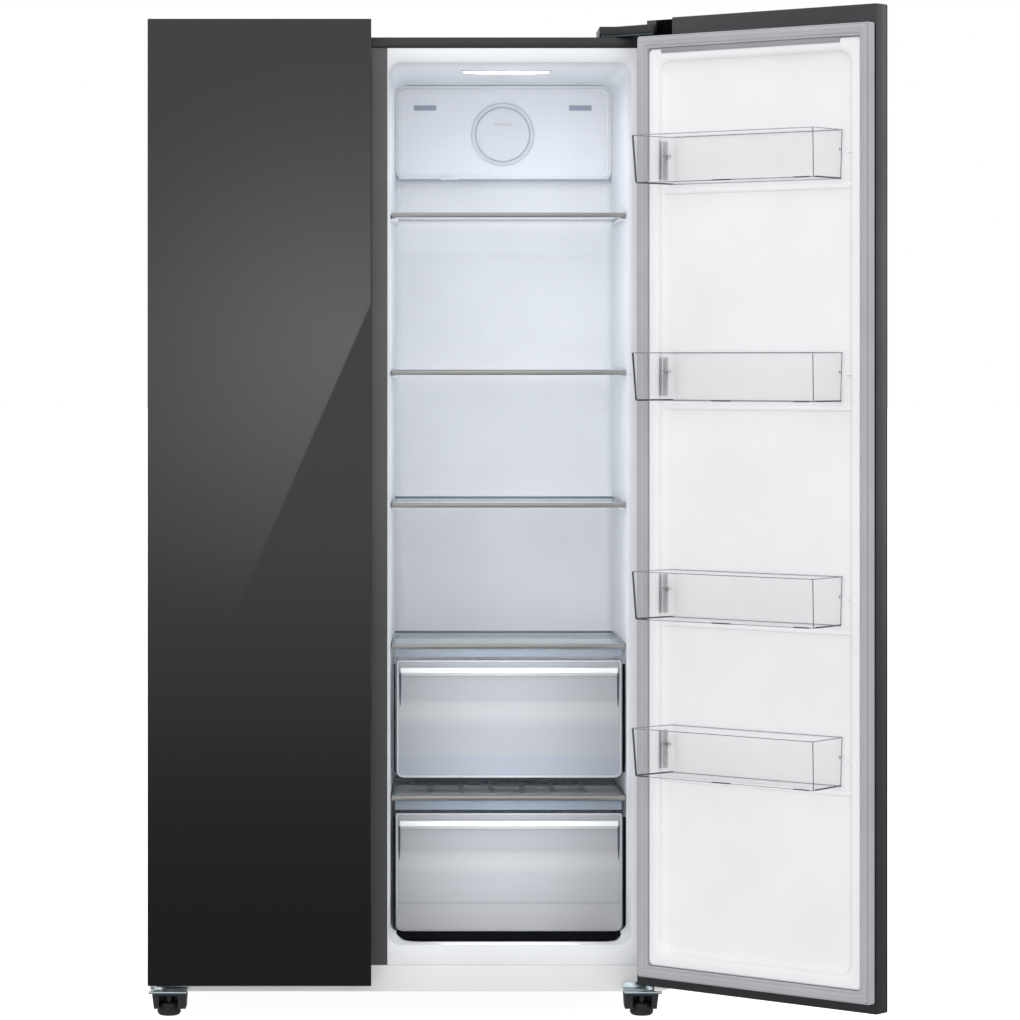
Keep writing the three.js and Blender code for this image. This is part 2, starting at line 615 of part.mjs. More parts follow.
function doorCase(door) {
  const w = door.width;
  const { wall, side } = DOOR;
  const front = DOOR.glass + GAP;
  const low = NOTCH.floor - 2.5;
  const body = doorSlab(door, 0, w, front, DOOR.thick, DOOR.bottom, DOOR.top);
  return cut(
    body,
    doorSlab(door, side, w - side, front + wall, DOOR.thick - wall, DOOR.bottom + side, low),
    doorSlab(door, NOTCH.reach + side, w - side, front + wall, DOOR.thick - wall, low - 5, DOOR.top - side),
    doorSlab(
      door, BACK_OPENING.hinge, w - BACK_OPENING.free,
      DOOR.thick - 5, DOOR.thick + 1, BACK_OPENING.bottom, BACK_OPENING.top,
    ),
    doorSlab(door, -1, NOTCH.reach, NOTCH.front, DOOR.thick + 1, NOTCH.floor, DOOR.top + 1),
    doorPin(door, PIVOT.hole, DOOR.bottom - 1, DOOR.bottom + 4),
    doorPin(door, PIVOT.hole, low - 1, NOTCH.floor + 1),
  );
}

function doorGlass(door) {
  const section = (level, inset) => doorFrame(
    door, inset, door.width - inset, DOOR.bottom + inset, DOOR.top - inset, 2, level,
  );
  return loftBack([section(0, 1), section(1, 0), section(DOOR.glass, 0)]);
}

function doorFoam(door) {
  const w = door.width;
  const skin = DOOR.wall + DOOR.glass + 2 * GAP;
  const edge = DOOR.side + GAP;
  const rear = DOOR.thick - DOOR.wall - GAP;
  const low = NOTCH.floor - 2.5 - GAP;
  const main = doorSlab(door, edge, w - edge, skin, rear, DOOR.bottom + edge, low);
  const upper = doorSlab(door, NOTCH.reach + edge, w - edge, skin, rear, low - 1, DOOR.top - edge);
  const plug = doorSlab(
    door, BACK_OPENING.hinge + GAP, w - BACK_OPENING.free - GAP,
    rear - 1, DOOR.thick, BACK_OPENING.bottom + GAP, BACK_OPENING.top - GAP,
  );
  return cut(
    join(main, upper, plug),
    doorPin(door, PIVOT.hole + 0.5, DOOR.bottom, LOW_BRACKET.z1 + 42),
    doorPin(door, PIVOT.hole + 0.5, ARM.z0 - 18, ARM.z0),
  );
}

function doorLiner(door, bins) {
  const w = door.width;
  const pad = doorSlab(door, PAD.hinge, w - PAD.free, PAD.q0, PAD.q1, PAD.bottom, PAD.top);
  const rim = (inset, level, radius) => doorFrame(
    door, RIM.hinge + inset, w - RIM.free - inset, RIM.bottom + inset, RIM.top - inset, radius, level,
  );
  const raised = loftBack([rim(0, PAD.q1 - 1, 14), rim(1, RIM.crest - 2, 14), rim(3, RIM.crest, 13)]);
  const deep = RECESS.crestIn + RECESS.slope;
  const recess = loftBack([
    rim(deep, RECESS.floor, RECESS.radius),
    rim(RECESS.crestIn, RIM.crest + 0.1, RECESS.radius + 8),
  ]);
  const pegs = bins.flatMap((top) => {
    const z1 = top - EAR.drop - GAP;
    const peg = (p0, p1) => doorSlab(door, p0, p1, RECESS.floor - 3, EAR.q1, z1 - 12, z1);
    const free = w - BIN.free;
    return [peg(RIM.hinge + 8, BIN.hinge + 3), peg(free - 3, w - RIM.free - 8)];
  });
  return join(cut(join(pad, raised), recess), ...pegs);
}

// The seal is a square tube-like ring; its face shuts against the cabinet front.
function gasket(door) {
  const w = door.width;
  const outer = (inset, level) => doorFrame(
    door, SEAL.outHinge + inset, w - SEAL.outFree - inset, SEAL_Z.out0 + inset, SEAL_Z.out1 - inset, 6, level,
  );
  const inner = (level) => doorFrame(
    door, SEAL.inHinge, w - SEAL.inFree, SEAL_Z.in0, SEAL_Z.in1, 6, level,
  );
  const body = loftBack([outer(0, SEAL.q0), outer(0, SEAL.q1 - 10), outer(1, SEAL.q1)]);
  return cut(body, loftBack([inner(SEAL.q0 - 1), inner(SEAL.q1 + 1)]));
}

// A clear trough, wider at its front and at its top, hung by two ears on the liner's pegs.
function bin(door, top) {
  const free = door.width - BIN.free;
  const ring = (inset, drop) => {
    const t = BIN.taper * drop;
    const [h, f] = [BIN.hinge + t + inset, free - t - inset];
    const slant = BIN.skew;
    return [
      [doorX(door, h + slant), BIN.back + inset],
      [doorX(door, h), BIN.front - 6 - 2 * t - inset],
      [doorX(door, h + 3), BIN.front - 1.5 - 2 * t - inset],
      [doorX(door, h + 8), BIN.front - 2 * t - inset],
      [doorX(door, f - 8), BIN.front - 2 * t - inset],
      [doorX(door, f - 3), BIN.front - 1.5 - 2 * t - inset],
      [doorX(door, f), BIN.front - 6 - 2 * t - inset],
      [doorX(door, f - slant), BIN.back + inset],
    ];
  };
  const outside = skewPrism(ring(0, 1), ring(0, 0), top - BIN.height, top);
  const inside = skewPrism(ring(BIN.wall, 1), ring(BIN.wall, 0), top - BIN.height + BIN.wall, top + 0.1);
  const z0 = top - EAR.drop;
  const ear = (p0, p1) => doorSlab(door, p0, p1, EAR.q0, EAR.q1, z0, z0 + EAR.thick);
  const ears = [ear(BIN.hinge - EAR.reach + 2, BIN.hinge + BIN.skew + 1), ear(free - BIN.skew - 1, free + EAR.reach - 2)];
  return cut(join(outside, ...ears), inside);
}

// A solid between one outline at z0 and another with as many points at z1.
function skewPrism(low, high, z0, z1) {
  const count = low.length;
  const winding = THREE.ShapeUtils.isClockWise(low.map(([x, y]) => new THREE.Vector2(x, y)));
  const [first, second] = winding ? [[...low].reverse(), [...high].reverse()] : [low, high];
  const positions = [...first.flatMap(([x, y]) => [x, y, z0]), ...second.flatMap(([x, y]) => [x, y, z1])];
  const index = [];
  for (let i = 0; i < count; i++) {
    const j = (i + 1) % count;
    index.push(i, j, j + count, i, j + count, i + count);
  }
  for (let i = 1; i + 1 < count; i++) {
    index.push(0, i + 1, i);
    index.push(count, count + i, count + i + 1);
  }
  const solid = new THREE.BufferGeometry();
  solid.setAttribute('position', new THREE.Float32BufferAttribute(positions, 3));
  solid.setIndex(index);
  return solid.toNonIndexed();
}

// The door hangs in a group at its hinge axis, which turns it to where it stands.
function makeDoor(door, bins) {
  const pivot = new THREE.Vector3(doorX(door, PIVOT.in), PIVOT.deep, 0);
  const hung = new THREE.Group();
  hung.position.copy(pivot);
  hung.rotation.z = THREE.MathUtils.degToRad(door.sign * door.open);
  const shut = new THREE.Group();
  shut.position.copy(pivot).negate();
  hung.add(shut);
  refrigerator.add(hung);
  add(`${door.name}_door_case`, doorCase(door), DARK_STEEL, shut);
  add(`${door.name}_door_glass`, doorGlass(door), BLACK_GLASS, shut);
  add(`${door.name}_door_foam`, doorFoam(door), FOAM, shut);
  add(`${door.name}_door_liner`, doorLiner(door, bins), WHITE_PLASTIC, shut);
  add(`${door.name}_door_gasket`, gasket(door), GREY_RUBBER, shut);
  bins.forEach((top, i) => add(`${door.name}_bin_${i + 1}`, bin(door, top), CLEAR_PLASTIC, shut));
}

// ---------------------------------------------------------------- put together

makeCase();
makeRunningGear();
makeRefrigeration();
makeInside();
makeDoor(FRIDGE_DOOR, FRIDGE_BINS);
makeDoor(FREEZER_DOOR, FREEZER_BINS);

// The origin goes to the middle of the floor area that the whole object covers, door included.
const footprint = new THREE.Box3().setFromObject(refrigerator, true);
refrigerator.position.set(
  -(footprint.min.x + footprint.max.x) / 2,
  -(footprint.min.y + footprint.max.y) / 2,
  0,
);

export default refrigerator;
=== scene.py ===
"""Looks of a side-by-side refrigerator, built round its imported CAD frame.

Shapes are drawn in millimetres in the cabinet's own frame: X from its middle, Y from the front of a
shut door, Z from the floor. A door's shapes are drawn in the shut door: X from its hinge side, Y from
its front. PLACES takes both to the shared frame, in metres.
"""
import json
import math

import bmesh
import bpy
from mathutils import Matrix, Vector


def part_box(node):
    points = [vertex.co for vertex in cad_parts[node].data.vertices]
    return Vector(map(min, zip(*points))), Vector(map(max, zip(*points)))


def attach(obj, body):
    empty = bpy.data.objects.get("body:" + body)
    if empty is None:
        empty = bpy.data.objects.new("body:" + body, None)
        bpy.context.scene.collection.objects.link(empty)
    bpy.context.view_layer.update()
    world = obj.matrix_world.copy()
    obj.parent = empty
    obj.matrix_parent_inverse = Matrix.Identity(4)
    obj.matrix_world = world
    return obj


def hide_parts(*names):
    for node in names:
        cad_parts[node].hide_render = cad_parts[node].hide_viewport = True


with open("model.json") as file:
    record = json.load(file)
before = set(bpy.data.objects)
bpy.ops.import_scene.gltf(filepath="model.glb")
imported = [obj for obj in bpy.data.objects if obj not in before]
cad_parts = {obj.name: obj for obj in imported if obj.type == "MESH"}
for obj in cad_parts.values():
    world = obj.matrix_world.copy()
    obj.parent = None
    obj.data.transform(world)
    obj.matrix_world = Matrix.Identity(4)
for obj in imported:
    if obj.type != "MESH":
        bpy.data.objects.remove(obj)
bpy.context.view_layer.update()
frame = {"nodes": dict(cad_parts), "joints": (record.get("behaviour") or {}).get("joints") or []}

MM = 0.001
CASE_LO, CASE_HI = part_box("base_cover")
MIDDLE = (CASE_LO.x + CASE_HI.x) / 2
HALF = (CASE_HI.x - CASE_LO.x) / 2 / MM
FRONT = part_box("freezer_door_glass")[0].y

scene = bpy.context.scene
scene.view_settings.view_transform = "Standard"

# ------------------------------------------------------------------ camera

EYE = Vector((MIDDLE, FRONT - 7.263, 1.1745))
camera = bpy.data.objects.new("camera", bpy.data.cameras.new("camera"))
camera.data.sensor_width = 36
camera.data.lens = 144.78
camera.data.shift_x = 0.1026
camera.data.shift_y = -0.1475
camera.data.clip_end = 100
camera.location = EYE
camera.rotation_euler = (math.radians(90), 0, 0)
scene.collection.objects.link(camera)
scene.camera = camera

# ------------------------------------------------------------------ materials


def srgb(value):
    """A display value from 0 to 255 as linear light."""
    v = value / 255
    return v / 12.92 if v <= 0.04045 else ((v + 0.055) / 1.055) ** 2.4


def tone(*values):
    """A display colour as linear light."""
    return tuple(srgb(v) for v in values)


def adjust(node, values):
    """Sets a shader node's inputs by their names."""
    for name, value in values.items():
        node.inputs[name].default_value = value


def fill_ramp(ramp, steps):
    """Puts (position, colour) steps on a colour ramp, from its start to its end."""
    elements = ramp.color_ramp.elements
    while len(elements) < len(steps):
        elements.new(0.5)
    for element, (position, colour) in zip(elements, steps):
        element.position = position
        element.color = (*colour, 1)


class Look:
    """A principled material whose colour, roughness and relief vary by procedural texture."""

    def __init__(self, name, colour, rough=0.4, metal=0.0, coat=0.0):
        self.material = bpy.data.materials.new(name)
        self.material.use_nodes = True
        self.nodes = self.material.node_tree.nodes
        self.links = self.material.node_tree.links
        self.shader = self.nodes["Principled BSDF"]
        self.colour = colour
        self.rough = rough
        adjust(self.shader, {
            "Base Color": (*colour, 1), "Roughness": rough, "Metallic": metal, "Coat Weight": coat,
        })

    def set(self, socket, value):
        self.shader.inputs[socket].default_value = value
        return self

    def link(self, a, b):
        self.links.new(a, b)

    def place(self, stretch):
        """Object coordinates, stretched."""
        coordinates = self.nodes.new("ShaderNodeTexCoord")
        mapping = self.nodes.new("ShaderNodeMapping")
        mapping.inputs["Scale"].default_value = stretch
        self.link(coordinates.outputs["Object"], mapping.inputs["Vector"])
        return mapping.outputs["Vector"]

    def noise(self, scale, detail, stretch=(1, 1, 1), distortion=0.0):
        node = self.nodes.new("ShaderNodeTexNoise")
        adjust(node, {"Scale": scale, "Detail": detail, "Distortion": distortion})
        self.link(self.place(stretch), node.inputs["Vector"])
        return node.outputs["Fac"]

    def cells(self, scale):
        node = self.nodes.new("ShaderNodeTexVoronoi")
        node.inputs["Scale"].default_value = scale
        self.link(self.place((1, 1, 1)), node.inputs["Vector"])
        return node.outputs["Distance"]

    def between(self, source, low, high, start=0.3, end=0.7):
        node = self.nodes.new("ShaderNodeMapRange")
        adjust(node, {"From Min": start, "From Max": end, "To Min": low, "To Max": high})
        self.link(source, node.inputs["Value"])
        return node.outputs["Result"]

    def tint(self, source, amount, start=0.3, end=0.7):
        """The colour drifts between a darker and a lighter shade."""
        ramp = self.nodes.new("ShaderNodeValToRGB")
        low = tuple(c * (1 - amount) for c in self.colour)
        high = tuple(min(1, c * (1 + amount)) for c in self.colour)
        fill_ramp(ramp, [(start, low), (end, high)])
        self.link(source, ramp.inputs["Fac"])
        self.link(ramp.outputs["Color"], self.shader.inputs["Base Color"])
        return self

    def sheen_drift(self, source, amount):
        low, high = self.rough * (1 - amount), min(1, self.rough * (1 + amount))
        self.link(self.between(source, low, high), self.shader.inputs["Roughness"])
        return self

    def relief(self, source, strength, depth=0.0005):
        bump = self.nodes.new("ShaderNodeBump")
        adjust(bump, {"Strength": strength, "Distance": depth})
        if self.shader.inputs["Normal"].is_linked:
            self.link(self.shader.inputs["Normal"].links[0].from_socket, bump.inputs["Normal"])
        self.link(source, bump.inputs["Height"])
        self.link(bump.outputs["Normal"], self.shader.inputs["Normal"])
        return self

    def see_through(self, face_on, edge_on, blend):
        """Clear face on and denser at a glancing angle, as thin clear plastic and glass are."""
        weight = self.nodes.new("ShaderNodeLayerWeight")
        weight.inputs["Blend"].default_value = blend
        alpha = self.between(weight.outputs["Facing"], face_on, edge_on, 0.0, 1.0)
        self.link(alpha, self.shader.inputs["Alpha"])
        return self


def moulded(name, colour, rough, grain=900, relief=0.06, drift=0.03):
    """Moulded plastic: a fine grain, and a slow drift of shade and gloss."""
    look = Look(name, colour, rough)
    look.tint(look.noise(6, 4), drift)
    look.sheen_drift(look.noise(22, 3), 0.15)
    return look.relief(look.noise(grain, 2), relief, 0.0002).material


def painted(name, colour, rough, metal=0.2, coat=0.15):
    """Sprayed sheet steel: orange peel and a slight flake."""
    look = Look(name, colour, rough, metal, coat)
    look.tint(look.noise(700, 2), 0.12)
    look.sheen_drift(look.noise(12, 3), 0.12)
    return look.relief(look.noise(260, 2), 0.05, 0.0002).material


def metal(name, colour, rough, along="x", spangle=False):
    """Bare metal, brushed along an axis, or zinc-dipped sheet with its cloudy spangle."""
    look = Look(name, colour, rough, 1.0)
    if spangle:
        look.tint(look.noise(42, 4, distortion=1.2), 0.1)
        look.sheen_drift(look.noise(42, 4, distortion=1.2), 0.12)
        return look.relief(look.noise(400, 3), 0.04, 0.0002).material
    stretch = {"x": (0.02, 1, 1), "y": (1, 0.02, 1), "z": (1, 1, 0.02)}[along]
    brushing = look.noise(1600, 3, stretch)
    look.tint(brushing, 0.14)
    look.sheen_drift(brushing, 0.3)
    return look.relief(brushing, 0.08, 0.0001).material


def clear(name, colour, rough, face_on, edge_on, blend=0.35, grain=0.0):
    """Clear glass or plastic, seen through more face on than edge on."""
    look = Look(name, colour, rough)
    look.tint(look.noise(8, 3), 0.05)
    look.sheen_drift(look.noise(30, 3), 0.3)
    look.see_through(face_on, edge_on, blend)
    if grain:
        look.relief(look.noise(500, 2), grain, 0.0003)
    return look.material


def drawer_face(name, node, steps):
    """A drawer's clear front, banded from foot to top: the edges of the tray's walls behind it, and the
    light and shade on them, are painted into its colour.
    """
    low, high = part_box(node)
    look = Look(name, tone(*steps[0][1]), 0.12)
    where = look.nodes.new("ShaderNodeTexCoord")
    split = look.nodes.new("ShaderNodeSeparateXYZ")
    ramp = look.nodes.new("ShaderNodeValToRGB")
    fill_ramp(ramp, [(height, tone(*values)) for height, values in steps])
    look.link(where.outputs["Object"], split.inputs["Vector"])
    look.link(look.between(split.outputs["Z"], 0.0, 1.0, low.z, high.z), ramp.inputs["Fac"])
    look.link(ramp.outputs["Color"], look.shader.inputs["Base Color"])
    look.sheen_drift(look.noise(30, 3), 0.3)
    look.see_through(0.52, 0.78, 0.4)
    return look.relief(look.noise(500, 2), 0.05, 0.0003).material


def black_glass(name):
    look = Look(name, (0.0012, 0.0012, 0.0013), 0.014)
    look.tint(look.noise(3, 3), 0.12)
    look.sheen_drift(look.noise(7, 4, distortion=0.6), 0.35)
    return look.relief(look.noise(1.4, 1), 0.02, 0.002).material


def shade(name):
    """Painted shade: near-black, almost without gloss, put where a gap holds only shadow."""
    look = Look(name, (0.002, 0.002, 0.003), 0.9)
    look.tint(look.noise(20, 2), 0.1)
    return look.set("Specular IOR Level", 0.04).material


def lamp_lens(name):
    look = Look(name, tone(250, 252, 255), 0.4)
    look.tint(look.noise(60, 2), 0.02)
    look.set("Emission Color", (0.93, 0.97, 1.0, 1)).set("Emission Strength", 5.0)
    return look.relief(look.noise(900, 1), 0.05).material


def foam(name):
    look = Look(name, tone(228, 214, 160), 0.9)
    look.tint(look.cells(300), 0.12, start=0.0, end=0.8)
    return look.relief(look.cells(420), 0.5, 0.001).material


def rubber(name, colour):
    look = Look(name, colour, 0.55)
    look.tint(look.noise(9, 4), 0.05)
    look.sheen_drift(look.noise(40, 3), 0.2)
    return look.relief(look.noise(1200, 2), 0.08, 0.0002).material


PAINT = {name: maker(name, *how) for name, maker, *how in (
    ("painted_steel", painted, tone(41, 41, 43), 0.42),
    ("dark_front", painted, tone(80, 80, 82), 0.35),
    ("black_glass", black_glass),
    ("white_liner", moulded, tone(235, 237, 240), 0.42, 300, 0.02),
    ("duct", moulded, tone(241, 243, 247), 0.42, 300, 0.02),
    ("door_liner", moulded, tone(238, 238, 240), 0.36),
    ("white_plastic", moulded, tone(231, 231, 231), 0.45),
    ("gasket", rubber, tone(174, 173, 179)),
    ("gasket_dark", rubber, tone(150, 150, 156)),
    ("black_plastic", moulded, tone(34, 34, 36), 0.5, 700, 0.2, 0.15),
    ("black_steel", painted, tone(40, 40, 43), 0.4),
    ("dark_zinc", metal, tone(74, 84, 86), 0.35, "y"),
    ("bracket", metal, tone(176, 188, 192), 0.22, "x"),
    ("zinc", metal, tone(196, 199, 203), 0.28, "y"),
    ("galvanised", metal, tone(150, 153, 156), 0.45, "x", True),
    ("foam", foam),
    ("shelf_glass", clear, tone(226, 233, 237), 0.05, 0.08, 0.4, 0.5),
    ("shelf_edge", clear, tone(104, 122, 132), 0.12, 0.7, 0.95),
    ("cover_glass", clear, tone(244, 248, 250), 0.08, 0.64, 0.9, 0.5),
    ("cover_lip", clear, tone(168, 180, 194), 0.1, 0.45, 0.7, 0.4),
    ("cover_rib", clear, tone(236, 240, 244), 0.12, 0.4, 0.6, 0.4),
    ("shelf_bar", metal, tone(168, 166, 160), 0.42, "x"),
    ("clear_plastic", clear, tone(250, 251, 252), 0.08, 0.004, 0.035, 0.25),
    ("clear_rib", clear, tone(214, 219, 227), 0.12, 0.14, 0.3, 0.3),
    ("clear_edge", clear, tone(60, 68, 82), 0.12, 0.9, 1.0),
    ("clear_rim", clear, tone(146, 152, 162), 0.12, 0.42, 0.75),
    ("drawer_plastic", clear, tone(224, 228, 232), 0.2, 0.14, 0.5, 0.4, 0.08),
    # drawer fronts: painted light and shade, banded from foot to top, for what shows through them
    ("drawer_face_1", drawer_face, "crisper_drawer_1", (
        (0.0, (174, 181, 192)), (0.18, (178, 184, 194)), (0.205, (184, 187, 191)), (0.42, (185, 188, 192)),
        (0.54, (200, 202, 204)), (0.62, (196, 198, 200)), (0.66, (184, 187, 190)), (1.0, (180, 183, 187)),
    )),
    ("drawer_face_2", drawer_face, "crisper_drawer_2", (
        (0.0, (212, 212, 213)), (0.22, (204, 205, 207)), (0.24, (186, 187, 190)), (0.26, (200, 202, 205)),
        (0.48, (199, 200, 203)), (0.56, (208, 209, 211)), (0.64, (202, 203, 205)), (0.68, (188, 189, 192)),
        (1.0, (186, 188, 193)),
    )),
    ("drawer_frame", clear, tone(226, 229, 232), 0.15, 0.42, 0.7, 0.4),
    ("drawer_floor", clear, tone(184, 193, 208), 0.3, 0.4, 0.7, 0.4),
    ("drawer_edge", clear, tone(66, 72, 86), 0.15, 0.8, 0.97),
    ("shade", shade),
    ("grip", moulded, tone(224, 225, 224), 0.36),
    ("lamp_lens", lamp_lens),
    ("badge", moulded, tone(226, 229, 235), 0.22),
    ("badge_line", moulded, tone(190, 194, 206), 0.4),
    ("vent", moulded, tone(166, 172, 188), 0.5),
    ("fins", metal, tone(190, 192, 194), 0.35, "z"),
    ("condenser", painted, tone(30, 30, 32), 0.45),
    ("compressor", painted, tone(24, 24, 26), 0.3, 0.0, 0.4),
)}

# ------------------------------------------------------------------ shapes


def door_turn(name):
    """Takes a shut door's shapes to where the door stands at rest."""
    hinge = next(j for j in frame["joints"] if j["name"] == f"{name}_door_hinge")
    pivot = Matrix.Translation(Vector(hinge["pos_m"]))
    shut = min(hinge["range_deg"], key=abs) if hinge["axis"][2] < 0 else hinge["range_deg"][0]
    turn = Matrix.Rotation(math.radians(-shut * hinge["axis"][2]), 4, "Z")
    return pivot @ turn @ pivot.inverted()


SCALE = Matrix.Translation((MIDDLE, FRONT, 0)) @ Matrix.Scale(MM, 4)
MIRROR = Matrix.Scale(-1, 4, (1, 0, 0))
PLACES = {
    "cabinet": SCALE,
    "fridge": door_turn("fridge") @ SCALE @ Matrix.Translation((HALF, 0, 0)) @ MIRROR,
    "freezer": door_turn("freezer") @ SCALE @ Matrix.Translation((-HALF, 0, 0)),
}


def extent(node, place="cabinet"):
    """A CAD node's lowest and highest corner, in millimetres, in the cabinet or in a shut door."""
    back = PLACES[place].inverted()
    points = [back @ v.co for v in frame["nodes"][node].data.vertices]
    low = Vector([min(p[i] for p in points) for i in range(3)])
    high = Vector([max(p[i] for p in points) for i in range(3)])
    return low, high


def rounded(a0, a1, b0, b1, radius, steps=6):
    """The points of a rectangle with round corners."""
    ring = []
    corners = ((a1, b0, -90), (a1, b1, 0), (a0, b1, 90), (a0, b0, 180))
    for a, b, start in corners:
        ca = a - radius if a == a1 else a + radius
        cb = b - radius if b == b1 else b + radius
        for i in range(steps + 1):
            angle = math.radians(start + 90 * i / steps)
            ring.append((ca + radius * math.cos(angle), cb + radius * math.sin(angle)))
    return ring


def softened(points, radii, steps=4):
    """A polygon whose corners are rounded, each by its own radius."""
    ring = []
    count = len(points)
    for i, point in enumerate(points):
        here = Vector(point)
        to_last = Vector(points[i - 1]) - here
        to_next = Vector(points[(i + 1) % count]) - here
        reach = min(radii[i], to_last.length * 0.45, to_next.length * 0.45)
        start = here + to_last.normalized() * reach
        end = here + to_next.normalized() * reach
        for k in range(steps + 1):
            t = k / steps
            ring.append(tuple(start * (1 - t) ** 2 + here * 2 * t * (1 - t) + end * t * t))
    return ring


def edges_at(verts):
    """The edges at some vertices, each once and in a fixed order, so that every run gives the same mesh.

    Last first: in this order the left side panel's large face is split where it shades evenly.
    """
    return list(dict.fromkeys(e for v in verts for e in v.link_edges))[::-1]


class Form:
    """A mesh under construction, in millimetres."""

    def __init__(self, place="cabinet"):
        self.bm = bmesh.new()
        self.place = place

    def bevel(self, edges, width, segments):
        if width:
            bmesh.ops.bevel(
                self.bm, geom=edges, offset=width, segments=segments, profile=0.5,
                affect="EDGES", clamp_overlap=True,
            )

    def box(self, x, y, z, bevel=1.0, segments=2):
        """A box with soft edges, from a pair of values on each axis."""
        made = bmesh.ops.create_cube(self.bm, size=1)["verts"]
        for v in made:
            v.co = Vector([(s[0] + s[1]) / 2 + c * (s[1] - s[0]) for s, c in zip((x, y, z), v.co)])
        self.bevel(edges_at(made), bevel, segments)
        return self

    def loft(self, rings, hoop=False):
        """A skin through rings of as many points; capped at both ends, or closed on itself."""
        made = [[self.bm.verts.new(p) for p in ring] for ring in rings]
        pairs = list(zip(made, made[1:]))
        if hoop:
            pairs.append((made[-1], made[0]))
        for low, high in pairs:
            for i in range(len(low)):
                j = (i + 1) % len(low)
                self.bm.faces.new((low[i], low[j], high[j], high[i]))
        if not hoop:
            self.bm.faces.new(made[0])
            self.bm.faces.new(made[-1])
        return self

    def turned(self, profile, centre, axis, sides):
        """A solid of revolution about "z" or "y", from (radius, height) pairs."""
        rings = []
        for radius, height in profile:
            ring = []
            for i in range(sides):
                a = 2 * math.pi * i / sides
                u, v = radius * math.cos(a), radius * math.sin(a)
                offset = (u, v, height) if axis == "z" else (u, height, v)
                ring.append(Vector(centre) + Vector(offset))
            rings.append(ring)
        return self.loft(rings)

    def hose(self, path, radius, closed=False, sides=8):
        """A round bar along a path."""
        points = [Vector(p) for p in path]
        count = len(points)
        rings = []
        normal = None
        for i, point in enumerate(points):
            before = points[i - 1] if closed or i else point
            after = points[(i + 1) % count] if closed or i + 1 < count else point
            along = (after - before).normalized()
            if normal is None:
                normal = along.orthogonal().normalized()
            normal = (normal - along * normal.dot(along)).normalized()
            across = along.cross(normal)
            rings.append([
                point + radius * (math.cos(a) * normal + math.sin(a) * across)
                for a in (2 * math.pi * k / sides for k in range(sides))
            ])
        return self.loft(rings, hoop=closed)

    def copy(self, node, bevel, segments, angle):
        """The CAD node's shape with its flat faces joined up and its edges softened."""
        back = PLACES[self.place].inverted()
        before = set(self.bm.verts)
        self.bm.from_mesh(frame["nodes"][node].data)
        fresh = [v for v in self.bm.verts if v not in before]
        for v in fresh:
            v.co = back @ v.co
        bmesh.ops.remove_doubles(self.bm, verts=fresh, dist=0.01)
        fresh = [v for v in self.bm.verts if v not in before]
        bmesh.ops.dissolve_limit(
            self.bm, angle_limit=math.radians(1), use_dissolve_boundaries=False,
            verts=fresh, edges=edges_at(fresh),
        )
        limit = math.radians(angle)
        fresh = [v for v in self.bm.verts if v not in before]
        joined = [e for e in edges_at(fresh) if len(e.link_faces) == 2]
        sharp = [e for e in joined if e.calc_face_angle(0) > limit]
        self.bevel(sharp, bevel, segments)
        return self

    def finish(self, name, look, body, slot, replaces=(), smooth=35):
        bmesh.ops.transform(self.bm, matrix=PLACES[self.place], verts=self.bm.verts)
        bmesh.ops.recalc_face_normals(self.bm, faces=self.bm.faces)
        mesh = bpy.data.meshes.new(name)
        self.bm.to_mesh(mesh)
        self.bm.free()
        mesh.materials.append(PAINT[look])
        mesh.shade_smooth()
        mesh.set_sharp_from_angle(angle=math.radians(smooth))
        piece = bpy.data.objects.new(name, mesh)
        scene.collection.objects.link(piece)
        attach(piece, body)
        if replaces:
            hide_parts(*replaces)


def dress(node, look):
    """A CAD node that stays gets its material."""
    mesh = frame["nodes"][node].data
    mesh.materials.clear()
    mesh.materials.append(PAINT[look])


def soften(node, look, body="cabinet", place="cabinet", *, slot, bevel, segments=2, angle=28):
    """A CAD node's shape with soft edges in place of the node."""
    form = Form(place).copy(node, bevel, segments, angle)
    form.finish(f"{node}_skin", look, body, slot, [node])


# ------------------------------------------------------------------ case

for side in ("left", "right"):
    soften(f"side_panel_{side}", "painted_steel", slot="painted_steel", bevel=0.5)
    soften(f"top_hinge_{side}", "dark_zinc", slot="zinc", bevel=0.5)
    soften(f"bottom_hinge_{side}", "bracket", slot="zinc", bevel=0.5)
    soften(f"hinge_cover_{side}", "black_plastic", slot="black_plastic", bevel=2.2, segments=3)
    soften(f"roller_{side}", "black_plastic", f"roller_{side}", slot="black_plastic", bevel=0.8)
soften("top_panel", "painted_steel", slot="painted_steel", bevel=0.5)
soften("mullion_plate", "dark_front", slot="painted_steel", bevel=0.5)
soften("base_cover", "white_plastic", slot="white_plastic", bevel=0.8)
for node, look in {
    "rear_panel": "galvanised", "machine_cover": "galvanised", "base_pan": "black_steel",
    "cabinet_foam": "foam", "compressor": "compressor", "condenser": "condenser",
    "condenser_fan": "black_plastic", "evaporator": "fins", "evaporator_fan": "black_plastic",
    "cord_gland": "black_plastic", "fridge_door_foam": "foam", "freezer_door_foam": "foam",
}.items():
    dress(node, look)

PIVOT = (20.0, 19.0)  # the hinge axis, in from the door's side and from its front
FOOT_TOP = 23.4
GROOVES = (6.6, 10.2, 13.8)  # where the cup's ribs begin
THREAD_PITCH = 1.5
THREAD_TURNS = 13
# the notch trim is drawn near-black as painted shade for the recess
NOTCH_TRIM = {"in": (22, 77.2), "deep": (5.95, 7.3), "up": (1748.3, 1777.2)}  # at the door's top hinge
DOOR_FOOT = 64.8
WEDGE_DEPTH = (10, 28)
WEDGE = ((33.2, 7.6, 1), (34, 8.8, 0), (42, 8.8, 0), (65, 1.8, 0), (66, 1.2, 0.4))  # place, drop, ease


